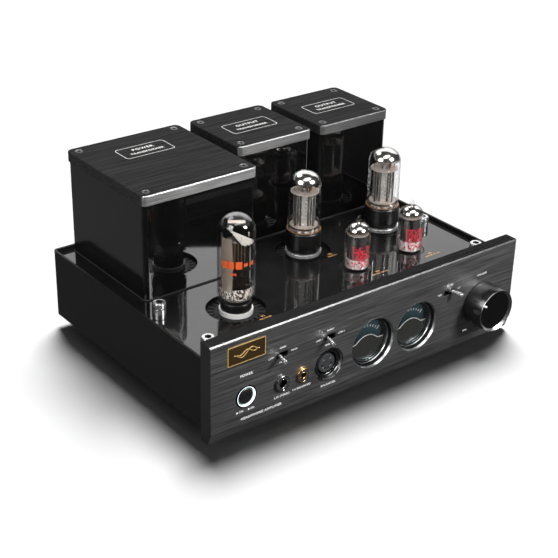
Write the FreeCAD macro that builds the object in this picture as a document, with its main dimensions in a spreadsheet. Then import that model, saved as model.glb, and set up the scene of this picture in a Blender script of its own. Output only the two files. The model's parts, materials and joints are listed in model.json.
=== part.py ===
"""Valve headphone amplifier: steel chassis, gloss deck, thick front panel, covered transformers, five valves.

The frame has +X to the right as seen from the front, the front panel facing -Y, and +Z up from the
surface that the feet stand on. All lengths are in millimetres and come from the sheet "Dims".
"""
import FreeCAD, Part
import math
import os
import Sketcher

SIZES = {
    # heights above the table
    "foot_height": 12.0, "foot_radius": 13.0, "foot_taper": 1.5, "foot_x": 128.0,
    "foot_front": 36.0, "foot_rear": 205.0,
    "panel_bottom": 3.5, "chassis_top": 72.0, "deck_top": 68.5, "deck_thickness": 3.0, "cap_top": 158.0,
    # front panel, whose front face stands at front_y
    "front_y": -111.0, "panel_width": 312.0, "panel_height": 83.5, "panel_depth": 12.0,
    "panel_edge": 1.0, "bevel_height": 8.5, "bevel_depth": 2.8,
    # chassis, measured back from the front face
    "chassis_width": 309.0, "chassis_rear": 231.0, "chassis_corner": 3.4, "sheet": 2.0,
    "ledge_width": 6.0, "plate_sheet": 1.5, "deck_gap": 0.8, "vent_length": 60.0, "vent_width": 3.0,
    "vent_pitch": 9.0, "stud_radius": 3.0,
    # clearances: beside fixed pieces, beside pieces that move, and round a turning pin
    "fixed_gap": 0.2, "moving_gap": 0.35, "running_gap": 0.06,
    # transformer covers and their caps
    "big_x": -85.0, "big_y": 170.3, "big_width": 107.6, "big_depth": 116.0,
    "small_width": 77.0, "small_depth": 74.6, "small_y": 190.6, "middle_x": 18.4, "right_x": 105.6,
    "cap_thickness": 8.5, "cap_corner": 5.0, "cap_overhang": 1.2, "cap_edge": 0.6,
    "cover_corner": 4.0, "cover_wall": 2.0,
    "screw_inset": 8.0, "screw_head": 3.5, "screw_shank": 1.9, "screw_sink": 3.6, "screw_key": 1.25,
    # transformers: width and height of the core, and the depth of its stack
    "big_core_width": 84.0, "big_core_height": 70.0, "big_core_stack": 46.0,
    "small_core_width": 57.0, "small_core_height": 48.0, "small_core_stack": 28.0,
    "coil_gap": 0.5, "wire_hole": 7.0,
    # valves: the two rows and the five places across
    "front_row": 66.0, "rear_row": 116.5,
    "valve_1_x": -85.5, "valve_2_x": 21.0, "valve_3_x": 109.0, "valve_4_x": 37.0, "valve_5_x": 96.0,
    "vent_hole": 23.5, "vent_plate": 28.0, "vent_sheet": 2.0,
    "slot_inner": 17.2, "slot_outer": 22.4, "slot_width": 1.7,
    "glass_wall": 0.9, "pin_length": 8.0, "socket_depth": 12.0, "socket_centre": 2.0,
    # rectifier valve on a wafer base, in a ceramic socket
    "rectifier_glass": 14.8, "rectifier_height": 80.0, "rectifier_wafer": 12.3, "wafer_top": 8.0,
    "rectifier_seat": 0.5, "rectifier_socket": 13.5, "rectifier_pin_circle": 8.73, "rectifier_pin": 0.63,
    "rectifier_anode_width": 21.0, "rectifier_anode_depth": 13.0, "rectifier_mica": 13.2,
    "rectifier_stem": 4.0, "rectifier_cage_low": 9.0, "rectifier_cage_top": 15.0,
    # octal output valves in skirted bases, on bright trim rings
    "octal_glass": 13.9, "octal_height": 72.3, "octal_base": 15.0, "base_top": 20.5, "base_cup": 2.0,
    "octal_seat": 1.5, "octal_socket": 15.4, "octal_pin_circle": 8.73, "octal_pin": 1.17,
    "octal_key": 3.9, "trim_radius": 15.6, "trim_width": 4.2,
    "octal_anode_width": 16.0, "octal_anode_depth": 9.0, "octal_mica": 12.2,
    "octal_stem": 3.5, "octal_cage_low": 5.0, "octal_cage_top": 17.0,
    # noval driver valves
    "noval_glass": 10.6, "noval_height": 46.2, "noval_shoulder": 5.5, "noval_tip": 1.7, "tip_rise": 5.5,
    "noval_seat": 0.5, "noval_socket": 12.6, "noval_hole": 13.0, "noval_pin_circle": 5.95, "noval_pin": 0.5,
    "noval_anode_width": 14.0, "noval_anode_depth": 7.0, "noval_mica": 9.0,
    "noval_stem": 2.0, "noval_cage_low": 7.0, "noval_cage_top": 15.0,
    # cage posts
    "post_radius": 5.4, "post_height": 9.2, "post_x": 137.8, "post_front": 28.5, "post_rear": 94.0,
    "post_edge": 0.8, "post_groove_z": 4.2, "post_groove": 1.0, "post_key": 2.9, "post_key_depth": 4.0,
    # nameplate and power button
    "plate_width": 34.0, "plate_height": 15.6, "plate_z": 73.6, "plate_thickness": 1.2, "plate_recess": 0.8,
    "power_x": -123.7, "socket_row": 35.5, "power_hole": 9.5, "power_cap": 6.9, "power_proud": 0.8,
    "power_cap_length": 7.0, "power_stem": 3.0, "power_stem_length": 24.0,
    "power_switch_width": 14.0, "power_switch_length": 22.0, "power_well": 18.0,
    # selector switches
    "selector_z": 60.0, "selector_1_x": -90.8, "selector_2_x": -45.0, "selector_3_x": 80.5,
    "slot_length": 11.0, "slot_height": 4.6, "selector_tilt": 13.0, "selector_pivot": 12.0,
    "lever_reach": 10.0, "lever_root": 1.3, "lever_tip": 1.7, "lever_ball": 2.5,
    "bushing_radius": 6.0, "bushing_bore": 5.2, "bushing_front": 3.0, "bushing_throat": 10.0,
    "selector_width": 13.0, "selector_height": 10.0, "selector_length": 14.0,
    # headphone jacks
    "jack_x": -90.8, "jack_nut": 6.6, "jack_proud": 2.2, "jack_sleeve": 5.5, "jack_bore": 3.2,
    "jack_length": 30.0, "jack_body": 16.0,
    "small_jack_x": -71.0, "small_jack_nut": 5.9, "small_jack_proud": 1.8, "small_jack_sleeve": 4.6,
    "small_jack_bore": 2.25, "small_jack_length": 22.0, "small_jack_body": 12.0, "jack_end": 2.0,
    # balanced headphone socket
    "xlr_x": -45.0, "xlr_flare": 13.8, "xlr_hole": 12.1, "xlr_recess": 2.5, "xlr_bore": 9.6,
    "xlr_insert": 7.9, "xlr_length": 26.0, "xlr_floor": 5.0, "xlr_contact_circle": 4.9, "xlr_contact": 1.2,
    # level meters
    "meter_1_x": 0.0, "meter_2_x": 46.6, "meter_z": 39.0, "meter_flare": 21.6, "meter_hole": 19.3,
    "meter_flare_depth": 5.0, "meter_radius": 19.2, "meter_wall": 1.5, "meter_length": 34.0,
    "lens_front": 3.0, "lens_rim": 6.5, "lens_thickness": 1.2, "dial_depth": 11.0, "dial_thickness": 1.0,
    "needle_drop": 9.0, "needle_length": 22.0, "needle_tail": 4.5, "needle_width": 0.7,
    "needle_thickness": 0.4, "needle_lift": 1.2, "needle_hub": 2.2, "needle_axle": 0.8,
    "needle_axle_length": 6.0, "needle_rest": 45.0,
    # volume control
    "knob_x": 117.5, "knob_z": 39.5, "knob_radius": 18.6, "knob_reach": 20.0, "knob_gap": 0.6,
    "knob_edge": 0.4, "knob_face": 4.0, "dish_radius": 16.3, "dish_depth": 1.8, "shaft_radius": 3.0,
    "pot_bushing": 4.5, "pot_radius": 12.0, "pot_length": 20.0, "shaft_inside": 14.0,
    # under the deck
    "board_z": 25.5, "board_thickness": 1.6, "board_width": 230.0, "board_front": 46.0, "board_rear": 190.0,
    "capacitor_radius": 12.5, "capacitor_height": 34.0, "capacitor_y": 168.0, "capacitor_pitch": 32.0,
    # mains inlet
    "inlet_x": 112.0, "inlet_z": 43.0, "inlet_width": 31.0, "inlet_height": 31.0, "inlet_flange": 3.0,
    "inlet_body": 27.0, "inlet_depth": 24.0, "cavity_width": 24.2, "cavity_height": 16.2,
    "cavity_depth": 15.0, "cavity_rise": 3.6, "blade_width": 2.0, "blade_height": 4.0,
    "blade_length": 12.0, "blade_pitch": 14.0, "blade_offset": 2.0,
    "fuse_width": 20.0, "fuse_height": 5.4, "fuse_depth": 18.0, "fuse_drop": 9.6,
    # line sockets
    "phono_x": -110.0, "phono_pitch": 20.0, "phono_z": 33.0, "phono_radius": 4.15,
    "phono_nut": 6.0, "phono_nut_depth": 2.5, "phono_reach": 11.0, "phono_bore": 1.7, "phono_inside": 12.0,
}

doc = FreeCAD.newDocument("Amplifier")
sheet = doc.addObject("Spreadsheet::Sheet", "Dims")
for row, (alias, number) in enumerate(SIZES.items(), start=1):
    sheet.set(f"A{row}", alias)
    sheet.set(f"B{row}", str(number))
    sheet.setAlias(f"B{row}", alias)
doc.recompute()

NODES = {}
SELECTORS = (1, 2, 3)
METERS = (1, 2)


class Size:
    """A number together with the sheet expression that drives it."""

    def __init__(self, value, text):
        self.value = value
        self.text = text

    def __add__(self, other):
        other = size_of(other)
        return Size(self.value + other.value, f"({self.text} + {other.text})")

    def __sub__(self, other):
        other = size_of(other)
        return Size(self.value - other.value, f"({self.text} - {other.text})")

    def __mul__(self, other):
        other = size_of(other)
        return Size(self.value * other.value, f"({self.text} * {other.text})")

    def __truediv__(self, other):
        other = size_of(other)
        return Size(self.value / other.value, f"({self.text} / {other.text})")

    def __neg__(self):
        return Size(-self.value, f"(0 - {self.text})")


def size_of(thing):
    """Any number as a Size."""
    if isinstance(thing, Size):
        return thing
    return Size(float(thing), f"({float(thing):.6f})")


def dim(alias):
    """The named cell of the sheet."""
    return Size(SIZES[alias], f"Dims.{alias}")


def span(centre, width):
    """The low and high ends of a width about its centre."""
    return size_of(centre) - width / 2, size_of(centre) + width / 2


FRONT = dim("front_y")
BEHIND_PANEL = FRONT + dim("panel_depth")
BEHIND_WALL = BEHIND_PANEL + dim("sheet")
REAR = FRONT + dim("chassis_rear")
DECK = dim("deck_top")
DECK_UNDERSIDE = DECK - dim("deck_thickness")
BOTTOM = dim("foot_height")

TURNS = {
    "+Z": FreeCAD.Rotation(),
    "+Y": FreeCAD.Rotation(FreeCAD.Vector(1, 0, 0), -90),
    "-Y": FreeCAD.Rotation(FreeCAD.Vector(1, 0, 0), 90),
}


def bind(item, **properties):
    """Sets properties and ties each one to its cell."""
    for name, size in properties.items():
        size = size_of(size)
        setattr(item, name, size.value)
        item.setExpression(name, size.text)


def place(item, at, turn=TURNS["+Z"]):
    """Places an object at a point whose coordinates follow the sheet."""
    at = [size_of(size) for size in at]
    item.Placement = FreeCAD.Placement(FreeCAD.Vector(*[size.value for size in at]), turn)
    for letter, size in zip("xyz", at):
        item.setExpression(f"Placement.Base.{letter}", size.text)
    return item


def keep(node, item):
    """Registers an object as the sub-part of that name."""
    item.Label = node
    NODES[node] = item
    return item


# primitives and booleans

def box(x, y, z):
    """A block between the low and high ends given for each axis."""
    item = doc.addObject("Part::Box", "Block")
    bind(item, Length=x[1] - x[0], Width=y[1] - y[0], Height=z[1] - z[0])
    return place(item, (x[0], y[0], z[0]))


def rod(radius, at, length, axis="+Z"):
    """A cylinder that starts at a point and runs along an axis."""
    item = doc.addObject("Part::Cylinder", "Rod")
    bind(item, Radius=radius, Height=length)
    return place(item, at, TURNS[axis])


def cone(radius_1, radius_2, at, length, axis="+Z"):
    """A cone that starts at a point and runs along an axis."""
    item = doc.addObject("Part::Cone", "Cone")
    bind(item, Radius1=radius_1, Radius2=radius_2, Height=length)
    return place(item, at, TURNS[axis])


def ball(radius, at):
    """A whole sphere about a point."""
    item = doc.addObject("Part::Sphere", "Ball")
    bind(item, Radius=radius)
    return place(item, at)


def hexagon(radius, at, length, axis="+Z"):
    """A six-sided prism that starts at a point and runs along an axis."""
    item = doc.addObject("Part::Prism", "Hexagon")
    item.Polygon = 6
    bind(item, Circumradius=radius, Height=length)
    return place(item, at, TURNS[axis])


def group(items):
    """Separate solids held together as one object."""
    item = doc.addObject("Part::Compound", "Group")
    item.Links = items
    return item


def fuse(items):
    """One solid made of overlapping items."""
    item = doc.addObject("Part::MultiFuse", "Joined")
    item.Shapes = items
    item.Refine = True
    return item


def cut(base, tools):
    """A base with every tool taken out of it."""
    item = doc.addObject("Part::Cut", "Remainder")
    item.Base = base
    item.Tool = tools[0] if len(tools) == 1 else group(tools)
    return item


# bodies, sketches and features

def new_body(at=(0, 0, 0), axis="+Z"):
    """An empty body at a point, with its own Z along the axis."""
    return place(doc.addObject("PartDesign::Body", "Body"), at, TURNS[axis])


def new_sketch(body, plane, offset=0):
    """A sketch on one of the body's own planes, moved along the plane's normal."""
    sketch = body.newObject("Sketcher::SketchObject", "Sketch")
    origin_plane = [feature for feature in body.Origin.OriginFeatures if feature.Role == plane][0]
    sketch.AttachmentSupport = [(origin_plane, "")]
    sketch.MapMode = "FlatFace"
    sketch.setExpression("AttachmentOffset.Base.z", size_of(offset).text)
    return sketch


def pin_down(sketch, geometry, position, x, y):
    """Fixes a point of a sketch at coordinates that follow the sheet."""
    for kind, size, axis in (("DistanceX", x, -2), ("DistanceY", y, -1)):
        size = size_of(size)
        if abs(size.value) < 1e-9:
            sketch.addConstraint(Sketcher.Constraint("PointOnObject", geometry, position, axis))
            continue
        if size.value > 0:
            ends = (-1, 1, geometry, position)
        else:
            ends = (geometry, position, -1, 1)
            size = -size
        index = sketch.addConstraint(Sketcher.Constraint(kind, *ends, size.value))
        sketch.setExpression(f"Constraints[{index}]", size.text)


def arc_edge(start, end, radius, clockwise):
    """The arc between two points, and which of its ends is the start."""
    side = -1 if clockwise else 1
    chord = end - start
    middle = start + chord * 0.5
    normal = FreeCAD.Vector(-chord.y, chord.x, 0) * (side / chord.Length)
    centre = middle + normal * math.sqrt(max(radius ** 2 - (chord.Length / 2) ** 2, 0))
    first, last = (end, start) if clockwise else (start, end)
    angle_1 = math.atan2(first.y - centre.y, first.x - centre.x)
    angle_2 = math.atan2(last.y - centre.y, last.x - centre.x)
    if angle_2 <= angle_1:
        angle_2 += 2 * math.pi
    arc = Part.ArcOfCircle(Part.Circle(centre, FreeCAD.Vector(0, 0, 1), radius), angle_1, angle_2)
    return arc, (2, 1) if clockwise else (1, 2)


def outline(sketch, corners):
    """A closed outline. Each corner is (x, y), or (x, y, radius, turn) when an arc leads to it."""
    points = [FreeCAD.Vector(size_of(corner[0]).value, size_of(corner[1]).value, 0) for corner in corners]
    edges = []
    for index, corner in enumerate(corners):
        start, end = points[index - 1], points[index]
        if len(corner) == 2:
            edges.append((sketch.addGeometry(Part.LineSegment(start, end), False), (1, 2)))
            continue
        radius = size_of(corner[2])
        arc, ends = arc_edge(start, end, radius.value, corner[3] == "clockwise")
        edges.append((sketch.addGeometry(arc, False), ends))
    for index, (geometry, ends) in enumerate(edges):
        following, following_ends = edges[(index + 1) % len(edges)]
        sketch.addConstraint(Sketcher.Constraint("Coincident", geometry, ends[1],
                                                 following, following_ends[0]))
        pin_down(sketch, geometry, ends[1], corners[index][0], corners[index][1])
    for (geometry, _), corner in zip(edges, corners):
        if len(corner) > 2:
            radius = size_of(corner[2])
            constraint = sketch.addConstraint(Sketcher.Constraint("Radius", geometry, radius.value))
            sketch.setExpression(f"Constraints[{constraint}]", radius.text)


def circle(sketch, radius, x=0, y=0):
    """A circle about a point."""
    radius = size_of(radius)
    centre = FreeCAD.Vector(size_of(x).value, size_of(y).value, 0)
    geometry = sketch.addGeometry(Part.Circle(centre, FreeCAD.Vector(0, 0, 1), radius.value), False)
    pin_down(sketch, geometry, 3, x, y)
    constraint = sketch.addConstraint(Sketcher.Constraint("Radius", geometry, radius.value))
    sketch.setExpression(f"Constraints[{constraint}]", radius.text)


def rectangle(sketch, x, y):
    """A plain rectangle between the ends given."""
    outline(sketch, [(x[0], y[0]), (x[1], y[0]), (x[1], y[1]), (x[0], y[1])])


def rounded_rectangle(sketch, x, y, radius):
    """A rectangle with four equal round corners."""
    inner_x = (x[0] + radius, x[1] - radius)
    inner_y = (y[0] + radius, y[1] - radius)
    outline(sketch, [
        (inner_x[0], y[0], radius, "anticlockwise"), (inner_x[1], y[0]),
        (x[1], inner_y[0], radius, "anticlockwise"), (x[1], inner_y[1]),
        (inner_x[1], y[1], radius, "anticlockwise"), (inner_x[0], y[1]),
        (x[0], inner_y[1], radius, "anticlockwise"), (x[0], inner_y[0]),
    ])


def pad(body, sketch, length):
    """Adds the sketch's shape along its normal."""
    feature = body.newObject("PartDesign::Pad", "Pad")
    feature.Profile = sketch
    bind(feature, Length=length)
    doc.recompute()
    return feature


def pocket(body, sketch, length, forward=False):
    """Takes the sketch's shape out, against its normal or forward along it."""
    before = body.Tip.Shape.Volume
    feature = body.newObject("PartDesign::Pocket", "Pocket")
    feature.Profile = sketch
    feature.Reversed = forward
    bind(feature, Length=length)
    doc.recompute()
    if feature.Shape.Volume >= before:
        raise ValueError(f"the pocket {feature.Name} cut nothing")
    return feature


def revolve(body, sketch):
    """Turns the sketch's shape about its upright axis."""
    feature = body.newObject("PartDesign::Revolution", "Revolution")
    feature.Profile = sketch
    feature.ReferenceAxis = (sketch, ["V_Axis"])
    feature.Angle = 360
    doc.recompute()
    return feature


def chamfer(body, chosen, size):
    """Bevels the edges of the body's shape that the test chooses."""
    base = body.Tip
    names = [f"Edge{number}" for number, edge in enumerate(base.Shape.Edges, start=1) if chosen(edge)]
    feature = body.newObject("PartDesign::Chamfer", "Chamfer")
    feature.Base = (base, names)
    bind(feature, Size=size)
    doc.recompute()
    return feature


def turned(profile, at, axis="+Z"):
    """A body of revolution: corners are (radius, height) about a point, along the axis."""
    body = new_body(at, axis)
    sketch = new_sketch(body, "XZ_Plane")
    outline(sketch, profile)
    revolve(body, sketch)
    return body


def around(count, radius, at, first, step):
    """Points on a circle, for rods that repeat round a centre. The angles are in degrees."""
    for number in range(count):
        angle = math.radians(first + number * step)
        yield at[0] + radius * math.cos(angle), at[1] + radius * math.sin(angle)


# chassis

def through_holes(start, depth):
    """Clearance holes for the controls that pass through both the panel and the wall behind it."""
    gap = dim("fixed_gap")
    places = [
        ("power_x", "socket_row", dim("power_hole")),
        ("jack_x", "socket_row", dim("jack_sleeve") + gap),
        ("small_jack_x", "socket_row", dim("small_jack_sleeve") + gap),
        ("xlr_x", "socket_row", dim("xlr_hole")),
        ("meter_1_x", "meter_z", dim("meter_hole")),
        ("meter_2_x", "meter_z", dim("meter_hole")),
        ("knob_x", "knob_z", dim("pot_bushing") + gap),
    ]
    return [rod(radius, (dim(x), start, dim(z)), depth, "+Y") for x, z, radius in places]


def bushing_holes(start, depth):
    """Clearance holes for the bushings of the three selectors."""
    radius = dim("bushing_radius") + dim("fixed_gap")
    return [rod(radius, (dim(f"selector_{number}_x"), start, dim("selector_z")), depth, "+Y")
            for number in SELECTORS]


def chassis_shell():
    """Steel sheet bent round the two sides and the rear, with round rear corners."""
    body = new_body()
    half = dim("chassis_width") / 2
    corner = dim("chassis_corner")

    def wall_outline(sketch, inset, front, radius):
        side, rear = half - inset, REAR - inset
        outline(sketch, [
            (-side, front), (side, front), (side, rear - radius),
            (side - radius, rear, radius, "anticlockwise"), (radius - side, rear),
            (-side, rear - radius, radius, "anticlockwise"),
        ])

    outer = new_sketch(body, "XY_Plane", BOTTOM)
    wall_outline(outer, size_of(0), BEHIND_PANEL, corner)
    pad(body, outer, dim("chassis_top") - BOTTOM)
    inner = new_sketch(body, "XY_Plane", BOTTOM)
    wall_outline(inner, dim("sheet"), FRONT, corner - dim("sheet"))
    pocket(body, inner, dim("chassis_top") - BOTTOM, forward=True)

    margin = dim("sheet") / 4
    start, depth = REAR - dim("sheet") - margin, dim("sheet") + margin * 2
    tools = [box(span(dim("inlet_x"), dim("inlet_body")), (start, start + depth),
                 span(dim("inlet_z"), dim("inlet_body")))]
    for x, z in phono_places():
        tools.append(rod(dim("phono_radius") + dim("fixed_gap"), (x, start, z), depth, "+Y"))
    keep("chassis_shell", cut(body, tools))


def chassis_frame():
    """Inner front wall behind the panel, and rails under the deck and over the bottom plate."""
    margin = dim("sheet") / 4
    gap = dim("fixed_gap")
    side = dim("chassis_width") / 2 - dim("sheet") - gap
    wall = box((-side, side), (BEHIND_PANEL, BEHIND_WALL), (BOTTOM, dim("chassis_top")))
    wall_start, wall_depth = BEHIND_PANEL - margin, dim("sheet") + margin * 2
    wall = cut(wall, through_holes(wall_start, wall_depth) + bushing_holes(wall_start, wall_depth))

    width = dim("ledge_width") - gap
    front, rear = BEHIND_WALL + gap, REAR - dim("sheet") - gap
    side_rails = ((-side, width - side), (side - width, side))
    cross_x = (width + gap - side, side - width - gap)
    notches = [box(span(dim(f"selector_{number}_x"), dim("selector_width") + dim("sheet")),
                   (front - margin, front + width + margin),
                   span(dim("selector_z"), dim("selector_height") + dim("sheet")))
               for number in SELECTORS]
    upper = (DECK_UNDERSIDE - dim("sheet"), DECK_UNDERSIDE)
    lower = (BOTTOM + dim("plate_sheet"), BOTTOM + dim("plate_sheet") * 2)
    rails = [cut(box(cross_x, (front, front + width), upper), notches),
             box(cross_x, (front, front + width), lower)]
    for height in (upper, lower):
        rails.append(box(cross_x, (rear - width, rear), height))
        for x in side_rails:
            rails.append(box(x, (front, REAR - dim("chassis_corner")), height))
    keep("chassis_frame", group([wall] + rails))


def bottom_plate():
    """Sheet that closes the chassis from below, with ventilation slots and studs for the board."""
    body = new_body()
    gap = dim("sheet") + dim("deck_gap") / 2
    side = dim("chassis_width") / 2 - gap
    outer = new_sketch(body, "XY_Plane", BOTTOM)
    rounded_rectangle(outer, (-side, side), (BEHIND_PANEL + gap, REAR - gap), dim("chassis_corner") - gap)
    pad(body, outer, dim("plate_sheet"))
    slots = new_sketch(body, "XY_Plane", BOTTOM)
    for column in (-1, 1):
        for line in range(5):
            middle = FRONT + dim("board_front") + dim("vent_pitch") * (line + 2)
            rectangle(slots, span(dim("vent_length") * (0.75 * column), dim("vent_length")),
                      span(middle, dim("vent_width")))
    pocket(body, slots, dim("plate_sheet"), forward=True)
    studs = new_sketch(body, "XY_Plane", BOTTOM + dim("plate_sheet") / 2)
    for x in (-1, 1):
        for y in ("board_front", "board_rear"):
            inward = 1 if y == "board_front" else -1
            circle(studs, dim("stud_radius"), (dim("board_width") / 2 - dim("stud_radius") * 2) * x,
                   FRONT + dim(y) + dim("stud_radius") * (2 * inward))
    pad(body, studs, dim("board_z") - BOTTOM - dim("plate_sheet") / 2)
    keep("bottom_plate", body)


def deck_plate():
    """Gloss plate on the upper ledge, with the valve openings and wire holes."""
    body = new_body()
    gap = dim("sheet") + dim("deck_gap")
    side = dim("chassis_width") / 2 - gap
    outer = new_sketch(body, "XY_Plane", DECK_UNDERSIDE)
    rounded_rectangle(outer, (-side, side), (BEHIND_PANEL + gap, REAR - gap), dim("chassis_corner") - gap)
    pad(body, outer, dim("deck_thickness"))
    holes = new_sketch(body, "XY_Plane", DECK_UNDERSIDE)
    for number in VALVE_KINDS:
        x, y = valve_place(number)
        circle(holes, dim("noval_hole") if VALVE_KINDS[number] == "noval" else dim("vent_hole"), x, y)
    for name, prefix in TRANSFORMERS.items():
        x, y = [dim(alias) for alias in COVERS[name][:2]]
        behind = dim(f"{prefix}_core_stack") / 2 + dim("wire_hole") * 1.2
        circle(holes, dim("wire_hole"), x, FRONT + y + behind)
    pocket(body, holes, dim("deck_thickness"), forward=True)
    keep("deck_plate", body)


def front_panel():
    """Thick anodised plate with a deep bevel along its lower edge."""
    half = dim("panel_width") / 2
    low, high = dim("panel_bottom"), dim("panel_bottom") + dim("panel_height")
    edge = dim("panel_edge")
    body = new_body()
    section = new_sketch(body, "YZ_Plane", -half)
    outline(section, [
        (BEHIND_PANEL, low), (BEHIND_PANEL, high), (FRONT + edge, high), (FRONT, high - edge),
        (FRONT, low + dim("bevel_height")), (FRONT + dim("bevel_depth"), low),
    ])
    pad(body, section, half * 2)

    def upright_front_corner(candidate):
        centre = candidate.BoundBox.Center
        return candidate.BoundBox.ZLength > dim("panel_height").value / 2 and centre.y < FRONT.value + 0.1

    chamfer(body, upright_front_corner, edge / 2)

    slots = new_sketch(body, "XZ_Plane", -FRONT)
    for number in SELECTORS:
        rounded_rectangle(slots, span(dim(f"selector_{number}_x"), dim("slot_length")),
                          span(dim("selector_z"), dim("slot_height")), dim("slot_height") / 4)
    pocket(body, slots, dim("panel_depth"))
    recess = new_sketch(body, "XZ_Plane", -FRONT)
    rectangle(recess, span(dim("power_x"), dim("plate_width") + dim("fixed_gap")),
              span(dim("plate_z"), dim("plate_height") + dim("fixed_gap")))
    pocket(body, recess, dim("plate_recess"))

    tools = through_holes(FRONT - edge, dim("panel_depth") + edge * 2)
    tools += bushing_holes(FRONT + dim("bushing_front"), dim("panel_depth"))
    for number in METERS:
        place_on_panel = (dim(f"meter_{number}_x"), FRONT, dim("meter_z"))
        tools.append(cone(dim("meter_flare"), dim("meter_hole"), place_on_panel,
                          dim("meter_flare_depth"), "+Y"))
    tools.append(cone(dim("xlr_flare"), dim("xlr_hole"), (dim("xlr_x"), FRONT, dim("socket_row")),
                      dim("xlr_recess"), "+Y"))
    keep("front_panel", cut(body, tools))


def nameplate():
    """Small plate let into the panel above the power button."""
    depth = (FRONT + dim("plate_recess") - dim("plate_thickness"), FRONT + dim("plate_recess"))
    plate = box(span(dim("power_x"), dim("plate_width")), depth, span(dim("plate_z"), dim("plate_height")))
    keep("nameplate", plate)


def feet():
    """Four round rubber feet under the chassis."""
    items = []
    for x in (-1, 1):
        for y in ("foot_front", "foot_rear"):
            items.append(cone(dim("foot_radius") - dim("foot_taper"), dim("foot_radius"),
                              (dim("foot_x") * x, FRONT + dim(y), 0), BOTTOM))
    keep("feet", group(items))


# transformer covers

COVERS = {
    "left": ("big_x", "big_y", "big_width", "big_depth"),
    "middle": ("middle_x", "small_y", "small_width", "small_depth"),
    "right": ("right_x", "small_y", "small_width", "small_depth"),
}
TRANSFORMERS = {"left": "big", "middle": "small", "right": "small"}


def cover(name):
    """Deep can over one transformer, open below."""
    x, y, width, depth = [dim(alias) for alias in COVERS[name]]
    overhang = dim("cap_overhang") * 2
    cap_bottom = dim("cap_top") - dim("cap_thickness")
    wall = dim("cover_wall")
    body = new_body()
    outer = new_sketch(body, "XY_Plane", DECK)
    rounded_rectangle(outer, span(x, width - overhang), span(FRONT + y, depth - overhang),
                      dim("cover_corner"))
    pad(body, outer, cap_bottom - DECK)
    inner = new_sketch(body, "XY_Plane", DECK)
    inset = overhang + wall * 2
    rounded_rectangle(inner, span(x, width - inset), span(FRONT + y, depth - inset),
                      dim("cover_corner") - wall)
    pocket(body, inner, cap_bottom - DECK - wall, forward=True)
    tools = [rod(dim("screw_shank"), (place_x, place_y, cap_bottom - wall * 2), wall * 3)
             for place_x, place_y in screw_places(name)]
    keep(f"transformer_cover_{name}", cut(body, tools))


def screw_places(name):
    """The four cap screws of one cover."""
    x, y, width, depth = [dim(alias) for alias in COVERS[name]]
    for side in (-1, 1):
        for end in (-1, 1):
            yield (x + (width / 2 - dim("screw_inset")) * side,
                   FRONT + y + (depth / 2 - dim("screw_inset")) * end)


def cap(name):
    """Thick brushed plate on top of one cover, with countersunk screw holes."""
    x, y, width, depth = [dim(alias) for alias in COVERS[name]]
    bottom = dim("cap_top") - dim("cap_thickness")
    body = new_body()
    outer = new_sketch(body, "XY_Plane", bottom)
    rounded_rectangle(outer, span(x, width), span(FRONT + y, depth), dim("cap_corner"))
    pad(body, outer, dim("cap_thickness"))
    top = dim("cap_top").value

    def top_edge(candidate):
        return candidate.BoundBox.ZMin > top - 1e-6

    chamfer(body, top_edge, dim("cap_edge"))
    tools = []
    for place_x, place_y in screw_places(name):
        tools.append(rod(dim("screw_shank"), (place_x, place_y, bottom - dim("cap_edge")),
                         dim("cap_thickness") + dim("cap_edge") * 2))
        tools.append(rod(dim("screw_head"), (place_x, place_y, dim("cap_top") - dim("screw_sink")),
                         dim("screw_sink") * 1.5))
    keep(f"cap_{name}", cut(body, tools))


def cap_screws():
    """The twelve socket screws that hold the caps and covers."""
    items = []
    shank = dim("screw_shank")
    for name in COVERS:
        for x, y in screw_places(name):
            head_bottom = dim("cap_top") - dim("screw_sink")
            foot = dim("cap_top") - dim("cap_thickness") - dim("cover_wall") * 2
            screw = fuse([rod(shank, (x, y, foot), head_bottom - foot + dim("cap_edge")),
                          rod(dim("screw_head") - dim("fixed_gap") / 2, (x, y, head_bottom),
                              dim("screw_sink") - dim("fixed_gap"))])
            key = hexagon(dim("screw_key"), (x, y, head_bottom + dim("screw_sink") / 3), dim("screw_sink"))
            items.append(cut(screw, [key]))
    keep("cap_screws", group(items))


def transformer_parts(name):
    """Laminated core with two windows, and the coil round its middle leg."""
    prefix = TRANSFORMERS[name]
    x, y = [dim(alias) for alias in COVERS[name][:2]]
    width, height, stack = [dim(f"{prefix}_core_{word}") for word in ("width", "height", "stack")]
    leg, yoke, gap = width / 3, width / 6, dim("coil_gap")
    centre_y = FRONT + y
    window_z = (DECK + yoke, DECK + height - yoke)
    windows = [box((x + leg / 2, x + leg), span(centre_y, stack * 2), window_z),
               box((x - leg, x - leg / 2), span(centre_y, stack * 2), window_z)]
    core = cut(box(span(x, width), span(centre_y, stack), (DECK, DECK + height)), windows)
    winding = box(span(x, leg * 2 - gap * 2), span(centre_y, stack + leg),
                  (window_z[0] + gap, window_z[1] - gap))
    opening = box(span(x, leg + gap), span(centre_y, stack + gap), (DECK, DECK + height))
    return core, cut(winding, [opening])


def transformers():
    """The power transformer and the pair of output transformers."""
    core, coil = transformer_parts("left")
    keep("power_transformer_core", core)
    keep("power_transformer_coil", coil)
    pair = [transformer_parts(name) for name in ("middle", "right")]
    keep("output_transformer_cores", group([core for core, _ in pair]))
    keep("output_transformer_coils", group([coil for _, coil in pair]))


# valves

def valve_place(number):
    """Where a valve's axis stands on the deck."""
    row = "rear_row" if number in (2, 3) else "front_row"
    return dim(f"valve_{number}_x"), FRONT + dim(row)


VALVE_KINDS = {1: "rectifier", 2: "octal", 3: "octal", 4: "noval", 5: "noval"}
PIN_LAYOUTS = {"rectifier": (9, 108.0, 36.0), "octal": (8, 112.5, 45.0), "noval": (9, 108.0, 36.0)}


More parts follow.
